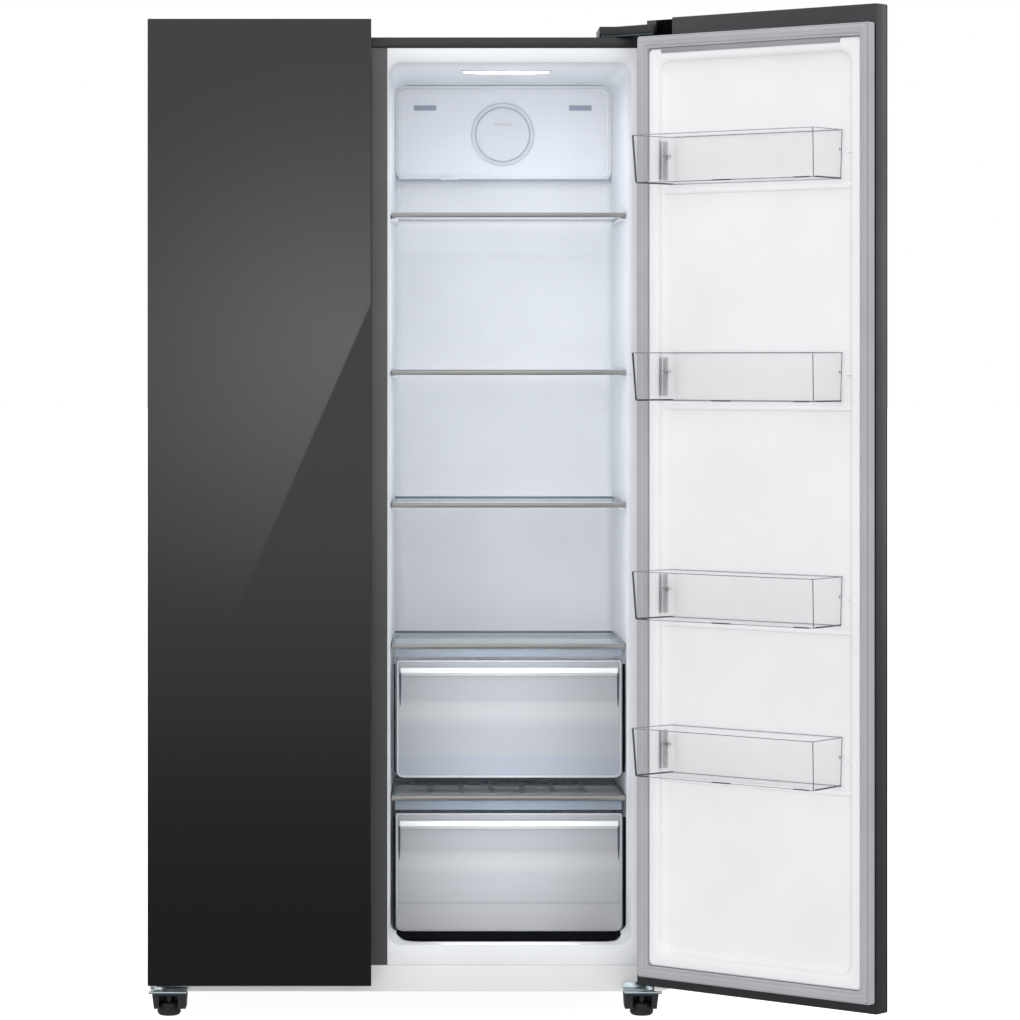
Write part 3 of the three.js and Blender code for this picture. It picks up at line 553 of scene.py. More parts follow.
def foot(side):
    """A levelling foot: a ribbed cup with a domed sole, on a threaded stud."""
    node = f"foot_{side}"
    low, high = extent(node)
    centre = ((low.x + high.x) / 2, (low.y + high.y) / 2, 0)
    r = (high.x - low.x) / 2
    profile = [(0.01, 0.2), (r - 7, 0.0), (r - 4.4, 0.6), (r - 1.8, 2.4), (r - 0.4, 5)]
    for z in GROOVES:
        profile += [(r, z), (r, z + 2.0), (r - 1.2, z + 2.5), (r - 1.2, z + 3.1)]
    profile += [(r - 1.4, 18.4), (r - 3, FOOT_TOP - 0.8), (r - 4, FOOT_TOP), (0.01, FOOT_TOP)]
    cup = Form().turned(profile, centre, "z", 48)
    cup.finish(f"{node}_cup", "black_plastic", node, "black_plastic", [node], 40)
    thread = [(0.01, 22)]
    for i in range(THREAD_TURNS):
        z = FOOT_TOP - 0.8 + i * THREAD_PITCH
        thread += [(3.3, z), (4.0, z + 0.6)]
    thread += [(3.3, high.z - 0.4), (2.6, high.z), (0.01, high.z)]
    Form().turned(thread, centre, "z", 24).finish(f"{node}_stud", "zinc", node, "zinc")


def bottom_hinge_parts(door, side):
    """The bush round the lower pin, and the wedge under the door that meets the bracket's stop."""
    bush = [(0.01, 54.5), (10.4, 54.5), (11, 55), (11, 56), (10.4, 56.6)]
    bush += [(8.8, 57), (8.6, 57.6), (8.6, 63.6), (8.2, 64.3), (0.01, 64.3)]
    sign = 1 if side == "right" else -1
    centre = (sign * (HALF - PIVOT[0]), PIVOT[1], 0)
    Form().turned(bush, centre, "z", 32).finish(f"hinge_bush_{side}", "bracket", "cabinet", "zinc")
    # painted shade: a near-black trim where the notch's cap sits, standing for the notch's dark recess
    trim = Form(door).box(NOTCH_TRIM["in"], NOTCH_TRIM["deep"], NOTCH_TRIM["up"], 0.5)
    trim.finish(f"{door}_door_notch_trim", "shade", f"{door}_door", "black_plastic")
    if door == "freezer":
        return
    rings = []
    for p, drop, ease in WEDGE:
        front, rear = WEDGE_DEPTH[0] + ease, WEDGE_DEPTH[1] - ease
        ring = rounded(front, rear, DOOR_FOOT - drop + ease * 0.4, DOOR_FOOT, 0.8, 3)
        rings.append([(p, q, z) for q, z in ring])
    Form(door).loft(rings).finish(f"{door}_door_wedge", "white_plastic", f"{door}_door", "white_plastic")


for door, side in (("fridge", "right"), ("freezer", "left")):
    foot(side)
    bottom_hinge_parts(door, side)

# ------------------------------------------------------------------ inside


def lerp(a, b, t):
    return a + (b - a) * t


def arc(start, end, steps, bulge="out"):
    """Points of a quarter ellipse between two (inset, depth) pairs; it leaves the first along its inset."""
    points = []
    for i in range(steps + 1):
        angle = math.pi / 2 * i / steps
        u, v = math.sin(angle), 1 - math.cos(angle)
        if bulge == "in":
            u, v = v, u
        points.append((lerp(start[0], end[0], u), lerp(start[1], end[1], v)))
    return points


LINER = {
    "flange": (93.3, 1730.7), "mouth": (129.5, 1705.0), "rise": 4.0, "back": 640.0, "face": 64.0,
    "skin": 2.6, "corner": 22,
}
STEP = {"y": (500, 640), "z": (100, 345)}  # over the machine compartment
WALLS = {  # inner walls at the mouth and at the rear, and the flange's ends
    "fridge": ((-30.0, 403.5), (-18.0, 396.3), (-32.2, 430.0)),
    "freezer": ((-403.5, -87.5), (-396.3, -98.0), (-430.0, -85.3)),
}


def wall_at(c, side, y):
    mouth, rear, _ = WALLS[c]
    return lerp(mouth[side], rear[side], (y - LINER["face"]) / (LINER["back"] - LINER["face"]))


def liner_ring(c, y, inset, radius):
    """A ring of the inner wall at a depth, drawn in by an inset."""
    t = (y - LINER["face"]) / (LINER["back"] - LINER["face"])
    low = LINER["mouth"][0] + LINER["rise"] * t + inset
    high = LINER["mouth"][1] - LINER["rise"] * t - inset
    ring = rounded(wall_at(c, 0, y) + inset, wall_at(c, 1, y) - inset, low, high, radius, 8)
    return [(x, y, z) for x, z in ring]


def liner(c):
    """The moulded liner: a flange, a rolled mouth, tapering walls and a soft-cornered rear wall."""
    low, high = LINER["flange"]
    face = LINER["face"]
    left, right = WALLS[c][2]
    back, skin, corner = LINER["back"], LINER["skin"], LINER["corner"]

    def edge(y, inset):
        ring = rounded(left + inset, right - inset, low + inset, high - inset, 2 - inset, 8)
        return [(x, y, z) for x, z in ring]

    rings = [liner_ring(c, back + skin, 16, 14), liner_ring(c, back - 12, -skin, corner)]
    rings += [liner_ring(c, face + 3, -skin, corner + skin)]
    rings += [edge(face + 2, 0.4), edge(face + 0.4, 0), edge(face, 0.5)]
    rings += [liner_ring(c, face + d, -i, corner + i) for i, d in arc((1.6, 0), (0, 5), 4)]
    rings += [liner_ring(c, back - corner, 0, corner)]
    rings += [liner_ring(c, back - corner + d, i, 20) for i, d in arc((0, 0), (18, 22), 6, "in")[1:]]
    form = Form().loft(rings)
    form.box((wall_at(c, 0, back) - 2, wall_at(c, 1, back) + 2), STEP["y"], STEP["z"], 2.5, 3)
    form.finish(f"{c}_liner_skin", "white_liner", "cabinet", "white_liner", [f"{c}_liner"], 50)


LEDGE = {"front": 222, "rear": 548, "reach": 7, "high": 4}


def ledges(c, shelves):
    """Moulded shelf ledges on both walls, with a rounded front."""
    form = Form()
    y = (LEDGE["front"], LEDGE["rear"])
    for name in shelves:
        z = extent(name)[0].z - 0.4
        for side in (0, 1):
            sign = 1 if side == 0 else -1
            inner = wall_at(c, side, y[1]) + sign * LEDGE["reach"]
            outer = wall_at(c, side, y[0]) - sign
            form.box(sorted((outer, inner)), y, (z - LEDGE["high"], z), 1.8, 3)
    form.finish(f"{c}_ledges", "white_liner", "cabinet", "white_liner")


def shelf(c, i, glass):
    """A glass plate in a satin front bar, a rear strip and two clear side strips."""
    node = f"{c}_shelf_{i}"
    low, high = extent(node)
    bar_back = low.y + 10
    plate = Form()
    plate.box((low.x + 5.5, high.x - 5.5), (low.y + 3, high.y - 1), (low.z + 0.6, low.z + 4.4), 0.7)
    plate.finish(f"{node}_glass", glass, "cabinet", "shelf_glass", [node])
    bar = Form().box((low.x, high.x), (low.y, bar_back), (low.z, high.z), 1.6, 3)
    bar.finish(f"{node}_bar", "shelf_bar", "cabinet", "shelf_glass")
    edges = Form()
    edges.box((low.x + 5, high.x - 5), (high.y - 5, high.y), (low.z + 4.2, high.z), 1.0)
    for sign, x0 in ((1, low.x), (-1, high.x)):
        x1 = x0 + sign * 5.6
        rings = []
        for z, g in ((low.z + 0.2, 0.4), (low.z + 0.8, 0), (high.z - 0.9, 0), (high.z - 0.4, 0.4)):
            rings.append([
                (x0 + sign * (0.3 + g), bar_back + 0.3, z), (x1, bar_back + 0.3, z),
                (x1, high.y, z), (x1 - sign * (1.2 - g), high.y, z),
            ])
        edges.loft(rings)
    edges.finish(f"{node}_edges", "shelf_edge", "cabinet", "shelf_glass")


def tray(x, y, z, radius, shrink, wall=2.4, rim=1.2):
    """Rings of an open tray with round corners, a rolled rim and a soft bottom edge."""

    def ring(height, inset):
        t = 1 - (height - z[0]) / (z[1] - z[0])
        side = shrink * t + inset
        corner = max(radius - inset, 1)
        outline = rounded(x[0] + side, x[1] - side, y[0] + inset, y[1] - side, corner, 6)
        return [(a, b, height) for a, b in outline]

    rings = [ring(z[0], 5), ring(z[0] + 1.2, 1.8), ring(z[0] + 4.5, 0), ring(z[1] - 4, 0)]
    rings += [ring(z[1] - 3, -rim), ring(z[1] - 0.8, -rim), ring(z[1], -rim + 0.8), ring(z[1], wall - 0.6)]
    rings += [ring(z[1] - 0.8, wall), ring(z[0] + 6, wall)]
    rings += [ring(z[0] + 2.8, wall + 3.4), ring(z[0] + 2.2, wall + 7)]
    return rings


def drawer(node, body):
    """A clear drawer: body, a thicker front with a framed edge, a white grip, and dark strips beside the
    grip and round the frame's foot and sides, painted shade.
    """
    low, high = extent(node)
    front = low.y
    left, right = low.x + 7, high.x - 7
    depth = (front + 4.6, high.y - 0.5)
    Form().loft(tray((left, right), depth, (low.z + 0.3, high.z - 14), 9, 5)).finish(
        f"{node}_tray", "drawer_plastic", body, "clear_plastic", [node], 40)
    lips = Form()
    for x0, x1 in ((low.x + 0.4, low.x + 8), (high.x - 8, high.x - 0.4)):
        lips.box((x0, x1), (front + 12, high.y - 8), (high.z - 24, high.z - 21), 0.8)
    lips.finish(f"{node}_lips", "drawer_plastic", body, "clear_plastic")

    fx = (low.x + 1, high.x - 1)
    fz = (low.z, high.z - 0.5)

    def plate(y, inset):
        x0, x1, z0, z1 = fx[0] + inset, fx[1] - inset, fz[0] + inset, fz[1] - inset
        foot_radius, top_radius = 15 - inset, max(5 - inset, 1)
        radii = [foot_radius, foot_radius, top_radius, top_radius]
        return [(a, y, b) for a, b in softened([(x0, z0), (x1, z0), (x1, z1), (x0, z1)], radii, 7)]

    face = [(5, 6), (3.2, 4.4), (1.6, 4.4), (0.6, 5.4)]
    Form().loft([plate(front + y, inset) for y, inset in face]).finish(
        f"{node}_front", f"drawer_face_{node[-1]}", body, "clear_plastic", (), 40)
    section = [(6, 1.0), (5, 0), (2, 0), (0.6, 0.6), (0, 2), (0.2, 3.4), (1.0, 4.4), (3.2, 4.8), (5.6, 4.6)]
    Form().loft([plate(front + y, inset) for y, inset in section], hoop=True).finish(
        f"{node}_frame", "drawer_frame", body, "clear_plastic", (), 40)
    # painted shade: a dark line along the frame's foot and sides
    line = Form().hose(plate(front + 1.2, 0.2), 0.8, True)
    line.finish(f"{node}_front_edge", "drawer_edge", body, "clear_plastic")
    grip_z = (high.z - 24.6, high.z - 14.6)
    gx = (fx[0] + 7.5, fx[1] - 7.5)
    grip = Form().box(gx, (front - 5.5, front + 1), grip_z, 1.6, 3)
    grip.finish(f"{node}_grip", "grip", body, "white_plastic")
    lip_z = (grip_z[0] - 4.6, grip_z[0] + 1)
    lip = Form().box((gx[0] + 1, gx[1] - 1), (front - 3.6, front + 0.8), lip_z, 1.6, 3)
    lip.finish(f"{node}_grip_lip", "drawer_frame", body, "clear_plastic")
    # painted shade: dark strips where the slots beside the grip are
    slots = Form()
    for x in (gx[0] - 0.4, gx[1] + 0.4):
        rings = []
        for z, w in ((grip_z[0] - 60, 0.5), (grip_z[0] - 40, 1.5), (grip_z[0], 1.9)):
            y0, y1 = front - 0.6, front + 0.6
            rings.append([(x - w, y0, z), (x + w, y0, z), (x + w, y1, z), (x - w, y1, z)])
        slots.loft(rings)
    slots.finish(f"{node}_slots", "drawer_edge", body, "clear_plastic")
    mat = Form().box((left + 10, right - 10), (front + 12, high.y - 16), (low.z + 3.4, low.z + 5), 0.7)
    mat.finish(f"{node}_floor", "drawer_floor", body, "clear_plastic")


def drawer_shades(c):
    """Painted shade: black strips beside the drawers, and for the fridge a black sheet on the floor in
    front of and under the lower drawer, where there is only shadow.
    """
    form = Form()
    names = [f"{'crisper' if c == 'fridge' else 'freezer'}_drawer_{i}" for i in (1, 2)]
    for name in names:
        low, high = extent(name)
        y = (low.y + 3, low.y + 5.6)
        for side, sign in ((0, -1), (1, 1)):
            edge = (low.x, high.x)[side]
            wall = wall_at(c, side, low.y)
            wide = 2.6 if side == 0 else 4.6
            near = edge + sign * 0.5
            far = min(near + wide, wall - 0.6) if side else max(near - wide, wall + 0.6)
            form.box(sorted((near, far)), y, (low.z - (2 if name == names[1] else -10), high.z - 8), 0.9)
    low, high = extent(names[1])
    floor_z = 130.6
    # painted shadow: a black sheet on the liner floor in front of and under the lower drawer
    shadow_floor_sheet = []
    for z, inset in ((floor_z, 0.8), (floor_z + 0.8, 0), (low.z - 1.6, 0), (low.z - 1.0, 0.8)):
        corners = [
            (low.x + 20 + inset, low.y - 100 + inset), (high.x - 20 - inset, low.y - 100 + inset),
            (high.x + 2 - inset, low.y + 4), (high.x + 2 - inset, low.y + 24),
            (low.x - 2 + inset, low.y + 24), (low.x - 2 + inset, low.y + 4),
        ]
        shadow_floor_sheet.append([(a, b, z) for a, b in softened(corners, [26, 26, 10, 1, 1, 10], 5)])
    if c == "fridge":
        form.loft(shadow_floor_sheet)
    form.finish(f"{c}_drawer_shade_strips", "shade", "cabinet", "black_plastic")


def shelf_ribs(node):
    """Ribs across the crisper cover, which carry the drawer above it."""
    low, high = extent(node)
    form = Form()
    for i in range(6):
        x = lerp(low.x + 66, high.x - 76, i / 5)
        form.box((x, x + 10), (low.y + 60, high.y - 90), (high.z - 3.6, high.z - 2.6), 0.4)
    form.finish(f"{node}_ribs", "cover_rib", "cabinet", "shelf_glass")


def cover_lips():
    """A clear lip under the shelf above each crisper drawer."""
    form = Form()
    for i in (1, 2):
        top = extent(f"crisper_drawer_{i}")[1].z
        low, high = extent(f"fridge_shelf_{i + 3}")
        form.box((low.x + 6, high.x - 6), (low.y + 12, low.y + 15), (top + 4.5, low.z - 1.5), 1.2, 3)
    form.finish("cover_lips", "cover_lip", "cabinet", "clear_plastic")


VENTS = {"middles": (38, 336), "z": (1653.4, 1661.2), "slots": 6, "pitch": 7.0}


def duct_panel():
    """The fan duct's cover: a shallow raised panel with two vents, and a seam along its foot."""
    low, high = extent("fridge_duct_panel")

    def plate(y, inset, radius):
        ring = rounded(low.x + inset, high.x - inset, low.z + inset, high.z - inset, radius, 8)
        return [(a, y, b) for a, b in ring]

    def flange(y):
        left, right = wall_at("fridge", 0, y) + 0.5, wall_at("fridge", 1, y) - 0.5
        return [(a, y, b) for a, b in rounded(left, right, low.z, high.z + 3.2, 16, 8)]

    rings = [flange(high.y - 1), flange(low.y + 3.8), plate(low.y + 3.2, 1.5, 16)]
    rings += [plate(low.y + 3.2 - d, 1.5 + i, 17) for i, d in arc((0, 0), (3.2, 1.8), 5, "in")[1:]]
    rings += [plate(low.y + 1.4, 6.6, 17), plate(low.y + 1.9, 7.4, 17), plate(low.y + 1.9, 8.2, 17)]
    rings += [plate(low.y + 1.0, 9.4, 17), plate(low.y + 1.0, 10.2, 17)]
    panel = Form().loft(rings)
    panel.box((low.x + 4, high.x - 4), (low.y - 2.5, low.y + 12), (low.z + 0.5, low.z + 4.5), 1.4, 3)
    panel.finish("fridge_duct_panel_skin", "duct", "cabinet", "white_liner", ["fridge_duct_panel"], 40)
    vents = Form()
    frame_z = (VENTS["z"][0] - 1, VENTS["z"][1] + 1)
    for x in VENTS["middles"]:
        for k in range(VENTS["slots"]):
            x0 = x - 20 + k * VENTS["pitch"]
            vents.box((x0, x0 + 4.6), (low.y - 0.6, low.y + 1.6), VENTS["z"], 0.4, 1)
        vents.box((x - 21.5, x + 21.5), (low.y - 0.2, low.y + 1.2), frame_z, 0.3, 1)
    vents.finish("duct_vents", "vent", "cabinet", "white_liner")
    seam = Form().box((low.x + 1, high.x - 1), (low.y - 2.8, low.y + 2), (low.z - 3.2, low.z + 0.9), 0.6)
    seam.finish("duct_seam", "vent", "cabinet", "white_liner")
    clip = Form().box((68, 100), (low.y - 5, low.y - 1), (low.z - 1, low.z + 6), 1.4, 3)
    clip.finish("duct_clip", "white_liner", "cabinet", "white_liner")


def badge():
    """The round air-flow badge: a ring round a dished disc, with a short bright dash."""
    low, high = extent("duct_badge")
    centre = ((low.x + high.x) / 2, 0, (low.z + high.z) / 2)
    r = (high.x - low.x) / 2
    y0, y1 = low.y, high.y
    profile = [(0, y1), (r - 0.6, y1), (r, y1 - 0.5)]
    steps = ((0, 1.1), (0.8, 0.2), (2.2, 0), (3.6, 0.5), (6.4, 1.4), (7.2, 2.6), (8.2, 2.6), (9, 0.9))
    profile += [(r - inset, y0 + depth) for inset, depth in steps]
    profile += [(r - 10.4, y0 + 0.4), (r - 12, y0 + 1.0), (r - 20, y0 + 0.9), (0, y0 + 0.8)]
    form = Form()
    form.turned([(max(a, 0.01), b) for a, b in profile], centre, "y", 64)
    form.finish("duct_badge_skin", "badge", "cabinet", "badge", ["duct_badge"], 50)
    dash_z = (centre[2] + 16.8, centre[2] + 21.2)
    dash = Form().box((centre[0] - 18, centre[0] + 18), (y0 - 0.9, y0 + 1.6), dash_z, 0.8, 3)
    dash.finish("duct_badge_dash", "grip", "cabinet", "white_plastic")
    # raised lines round the ring in a darker tone: real relief, with painted shade for its grooves
    lines = Form()
    for radius, depth in ((r - 0.5, y0 + 0.9), (r - 7.7, y0 + 1.9)):
        path = [
            (centre[0] + radius * math.cos(a), depth, centre[2] + radius * math.sin(a))
            for a in (2 * math.pi * i / 72 for i in range(72))
        ]
        lines.hose(path, 0.55, True, 6)
    lines.finish("duct_badge_lines", "badge_line", "cabinet", "badge")


def ceiling_lamp():
    """A white bezel in the ceiling, and a narrow lit lens with tapered ends."""
    low, high = extent("fridge_lamp")
    middle_y = (low.y + high.y) / 2

    def ring(z, inset):
        outline = rounded(low.x + inset, high.x - inset, low.y + inset, high.y - inset, 12, 8)
        return [(a, b, z) for a, b in outline]

    rings = [ring(high.z, 0), ring(high.z - 0.6, 0)]
    rings += [ring(high.z - 0.6 - d, i) for i, d in arc((0, 0), (16, 1.4), 6)[1:]]
    bezel = Form().loft(rings)
    bezel.finish("fridge_lamp_bezel", "white_liner", "cabinet", "lamp_lens", ["fridge_lamp"], 60)
    face = high.z - 2.6
    lens = Form()
    rings = []
    for i in range(13):
        t = i / 6 - 1
        half = 5.6 * max(0.12, (1 - abs(t) ** 2.2))
        x = lerp(low.x, high.x, (t * 0.94 + 1) / 2)
        deep = 0.2 + 2.6 * (1 - abs(t) ** 2.4)
        rings.append([(x, middle_y + a, face - b) for a, b in rounded(-half, half, -1, deep, 0.55, 4)])
    lens.loft(rings).finish("fridge_lamp_skin", "lamp_lens", "cabinet", "lamp_lens", (), 50)


for c, count in (("fridge", 5), ("freezer", 3)):
    liner(c)
    ledges(c, [f"{c}_shelf_{i}" for i in range(1, count + 1)])
    drawer_shades(c)
    for i in range(1, count + 1):
        shelf(c, i, "cover_glass" if (c, i) == ("fridge", 5) else "shelf_glass")
for i in (1, 2):
    drawer(f"crisper_drawer_{i}", f"crisper_drawer_{i}")
    drawer(f"freezer_drawer_{i}", "cabinet")
shelf_ribs("fridge_shelf_5")
cover_lips()
duct_panel()
badge()
ceiling_lamp()
soften("freezer_duct_panel", "white_liner", slot="white_liner", bevel=1.2)

# ------------------------------------------------------------------ doors

SEAL = {"hinge": 24.0, "free": 14.5, "bottom": 21.9, "top": 22.5}
RIM = {"hinge": 37.0, "free": 13.0, "bottom": 24.0, "top": 25.0}  # in from the liner's edge
RIM_FOOT = {"hinge": 34.4, "free": 10.4, "bottom": 20.9, "top": 21.4}  # where the rim rises, by the seal


def upright(a0, a1, b0, b1, radius, depth, steps=8):
    return [(a, depth, b) for a, b in rounded(a0, a1, b0, b1, radius, steps)]


def gasket(door):
    """The magnet seal: outer lip, groove, the magnet's flat face with a centre line, inner lip."""
    node = f"{door}_door_gasket"
    low, high = extent(node, door)
    q0, q1 = low.y, high.y

    def ring(t, depth):
        return upright(
            low.x + SEAL["hinge"] * t, high.x - SEAL["free"] * t,
            low.z + SEAL["bottom"] * t, high.z - SEAL["top"] * t, 2.2 + 3 * t, depth, 5)

    face = [  # across the seal from its outer side, and below its crest
        (0.0, 9), (0.03, 7.6), (0.09, 7.2), (0.11, 8.6), (0.13, 8.6), (0.14, 1.8), (0.18, 0.5), (0.24, 0.1),
        (0.44, 0), (0.46, 0.5), (0.48, 0.5), (0.5, 0), (0.73, 0.2), (0.77, 0.8), (0.79, 1.9),
        (0.82, 2.0), (0.84, 1.5), (0.9, 1.4), (0.97, 2.0), (1.0, 3.6),
    ]
    profile = [(0.02, q0), (0.0, q0 + 2)]
    profile += [(t, q1 - drop) for t, drop in face]
    profile += [(1.0, q0 + 4), (0.97, q0)]
    Form(door).loft([ring(t, d) for t, d in profile], hoop=True).finish(
        f"{node}_skin", "gasket", f"{door}_door", "gasket", [node], 32)
    top = high.z - SEAL["top"]
    strip = Form(door).box((low.x + 54, high.x - 57.5), (q1 - 9, q1 - 3.6), (top - 9.5, top - 0.3), 1.0)
    strip.finish(f"{door}_door_top_strip", "gasket_dark", f"{door}_door", "gasket")


def door_liner(door, bins):
    """The door's moulded inner panel: edge, raised rim with a rolled crest, sloping sides, soft recess."""
    node = f"{door}_door_liner"
    low, high = extent(node, door)
    q0, q1 = low.y, low.y + 3.9
    crest = q0 + 23.7

    def pad(inset, depth):
        return upright(low.x + inset, high.x - inset, low.z + inset, high.z - inset, 8, depth)

    def rim(inset, depth, radius, edge=RIM):
        return upright(
            low.x + edge["hinge"] + inset, high.x - edge["free"] - inset,
            low.z + edge["bottom"] + inset, high.z - edge["top"] - inset, radius, depth)

    rings = [pad(30, q0), pad(0.4, q0), pad(0, q0 + 0.4), pad(0, q1 - 0.5), pad(0.5, q1)]
    rings += [rim(0, q1 + 0.2, 8, RIM_FOOT), rim(0, crest - 6, 8, RIM_FOOT)]
    rings += [rim(i, crest - 6 + d, 8, RIM_FOOT) for i, d in arc((0, 0), (4, 6), 6, "in")[1:]]
    rings += [rim(11, crest, 20)]
    rings += [rim(11 + i, crest - d, 24) for i, d in arc((0, 0), (9, 6), 5)[1:]]
    rings += [rim(20 + i, crest - 6 - d, 26) for i, d in arc((0, 0), (14, 6.8), 6, "in")[1:]]
    rings += [rim(60, crest - 13, 20)]
    form = Form(door).loft(rings)
    for i in range(1, bins + 1):
        b_low, b_high = extent(f"{door}_bin_{i}", door)
        z = b_high.z - 36.3
        for x0, x1 in ((low.x + 45, b_low.x + 4.2), (b_high.x - 3.4, high.x - 23)):
            form.box((x0, x1), (crest - 16, crest - 8), (z - 3.6, z), 1.6, 3)
        rest_z = (b_low.z - 16, b_low.z - 6)
        form.box((b_low.x - 6, b_high.x + 6), (crest - 16, crest - 9.5), rest_z, 3.2, 4)
    form.finish(f"{node}_skin", "door_liner", f"{door}_door", "door_liner", [node], 50)


def bin_ring(low, high, z, inset, drop):
    """A bin's outline at a level: wider at its front, drawn in towards the bottom."""
    side = 3 * drop + inset
    h, f = low.x + 1.5 + side, high.x - 1.5 - side
    back, front = low.y + inset, high.y - 6 * drop - inset
    corners = [(h + 10, back), (h, front), (f, front), (f - 10, back)]
    radii = [3, 9, 9, 3]
    return [(a, b, z) for a, b in softened(corners, [max(r - inset * 0.6, 1) for r in radii], 5)]


def door_bin(door, i):
    """A clear bin. Its rim, corners and bottom edge are darker tinted bars: painted shade for the dark
    lines that the light bent in the thick plastic makes there.
    """
    node = f"{door}_bin_{i}"
    low, high = extent(node, door)
    z0, z1 = low.z, high.z

    def ring(z, inset):
        return bin_ring(low, high, z, inset, 1 - (z - z0) / (z1 - z0))

    rings = [ring(z0, 5), ring(z0 + 0.8, 1.8), ring(z0 + 3.2, 0), ring(z1 - 0.8, 0), ring(z1, 0.6)]
    rings += [ring(z1, 1.6), ring(z1 - 0.8, 2.2), ring(z0 + 6, 2.2), ring(z0 + 3, 4.2), ring(z0 + 2.4, 7)]
    form = Form(door).loft(rings)
    ear_z = (z1 - 36, z1 - 32)
    for x0, x1 in ((low.x, low.x + 13), (high.x - 13, high.x)):
        form.box((x0, x1), (low.y + 1.6, low.y + 11), ear_z, 0.8)
    form.finish(f"{node}_shell", "clear_plastic", node, "clear_plastic", [node], 40)
    ribs = Form(door)
    for y, wide in ((low.y + 4, 11), (low.y + 21, 6)):
        ribs.box((low.x + 5.6, low.x + 8.4), (y, y + wide), (z0 + 9, z1 - 8), 0.9)
    ribs.finish(f"{node}_ribs", "clear_rib", node, "clear_plastic")

    # painted shade: darker bars along the rim and the foot
    rim = Form(door).hose([Vector(p) + Vector((0, 0, -0.7)) for p in ring(z1, 0.9)], 0.85, True)
    base = ring(z0 + 1.4, 1.4)
    rim.hose(base, 0.8, True)
    rim.finish(f"{node}_rim", "clear_rim", node, "clear_plastic")
    # painted shade: darker bars up the corners and along the bottom edge
    edge = Form(door)
    low_ring, high_ring = ring(z0 + 2, 0.9), ring(z1 - 0.4, 0.9)
    steps = len(low_ring) // 4
    for corner, radius in ((1, 1.7), (2, 0.75), (3, 0.6)):
        k = corner * steps + steps // 2
        edge.hose([low_ring[k], high_ring[k]], radius)
    q = Vector(low_ring[steps + steps // 2])
    front = high.y - 7.4
    runs = [
        ((x0, front, z0 + 1.6), (x1, front, z0 + 1.6), 1.2)
        for x0, x1 in ((q.x + 3, q.x + 26), (q.x + 165, q.x + 205), (high.x - 46, high.x - 14))
    ]
    runs.append((low_ring[2 * steps + steps - 1], low_ring[3 * steps + 1], 1.5))
    runs.append((low_ring[steps], low_ring[1], 1.4))
    for a, b, radius in runs:
        edge.hose([a, (Vector(a) + Vector(b)) / 2, b], radius)
    edge.finish(f"{node}_edges", "clear_edge", node, "clear_plastic")


for door, bins in (("fridge", 4), ("freezer", 3)):
    body = f"{door}_door"
    soften(f"{door}_door_case", "painted_steel", body, door, slot="painted_steel", bevel=0.8)
    soften(f"{door}_door_glass", "black_glass", body, door, slot="black_glass", bevel=0.4, angle=60)
    door_liner(door, bins)
    gasket(door)
    for i in range(1, bins + 1):
        door_bin(door, i)

# ------------------------------------------------------------------ studio

SOFT_LIGHT = 0.86
COOL = (0.925, 0.948, 1.0)
SKY = (  # height of a direction, and how bright the studio is there
    (-0.16, 0.30), (-0.14, 0.335), (-0.127, 0.37), (-0.112, 0.45), (-0.098, 0.58), (-0.083, 0.78),
    (-0.065, 1.0), (-0.045, 1.28), (-0.02, 1.38), (0.03, 1.34), (0.08, 1.4), (0.24, 1.2),
)


def stage_floor():
    """A white floor that glows a little, as a lit studio floor does: its far edge melts away."""
    mesh = bpy.data.meshes.new("floor")
    size = 90
    corners = [(-size, -size, 0), (size, -size, 0), (size, size, 0), (-size, size, 0)]
    mesh.from_pydata(corners, [], [(0, 1, 2, 3)])
    look = Look("floor", (0.45, 0.45, 0.45), 0.9)
    look.tint(look.noise(2, 3), 0.01)
    look.set("Emission Color", (1, 1, 1, 1))
    look.set("Emission Strength", 0.94)
    mesh.materials.append(look.material)
    floor = bpy.data.objects.new("floor", mesh)
    floor.location = (0, 0, -0.0005)
    floor.visible_glossy = False
    floor.visible_diffuse = False
    scene.collection.objects.link(floor)


def softbox(name, place, target, size, power, colour=(1, 1, 1)):
    data = bpy.data.lights.new(name, "AREA")
    data.shape = "RECTANGLE"
    data.size, data.size_y = size
    data.energy = power
    data.color = colour
    lamp = bpy.data.objects.new(name, data)
    lamp.location = Vector(place)
    lamp.rotation_euler = (Vector(target) - Vector(place)).to_track_quat("-Z", "Y").to_euler()
    lamp.visible_camera = False
    lamp.visible_glossy = False
    scene.collection.objects.link(lamp)


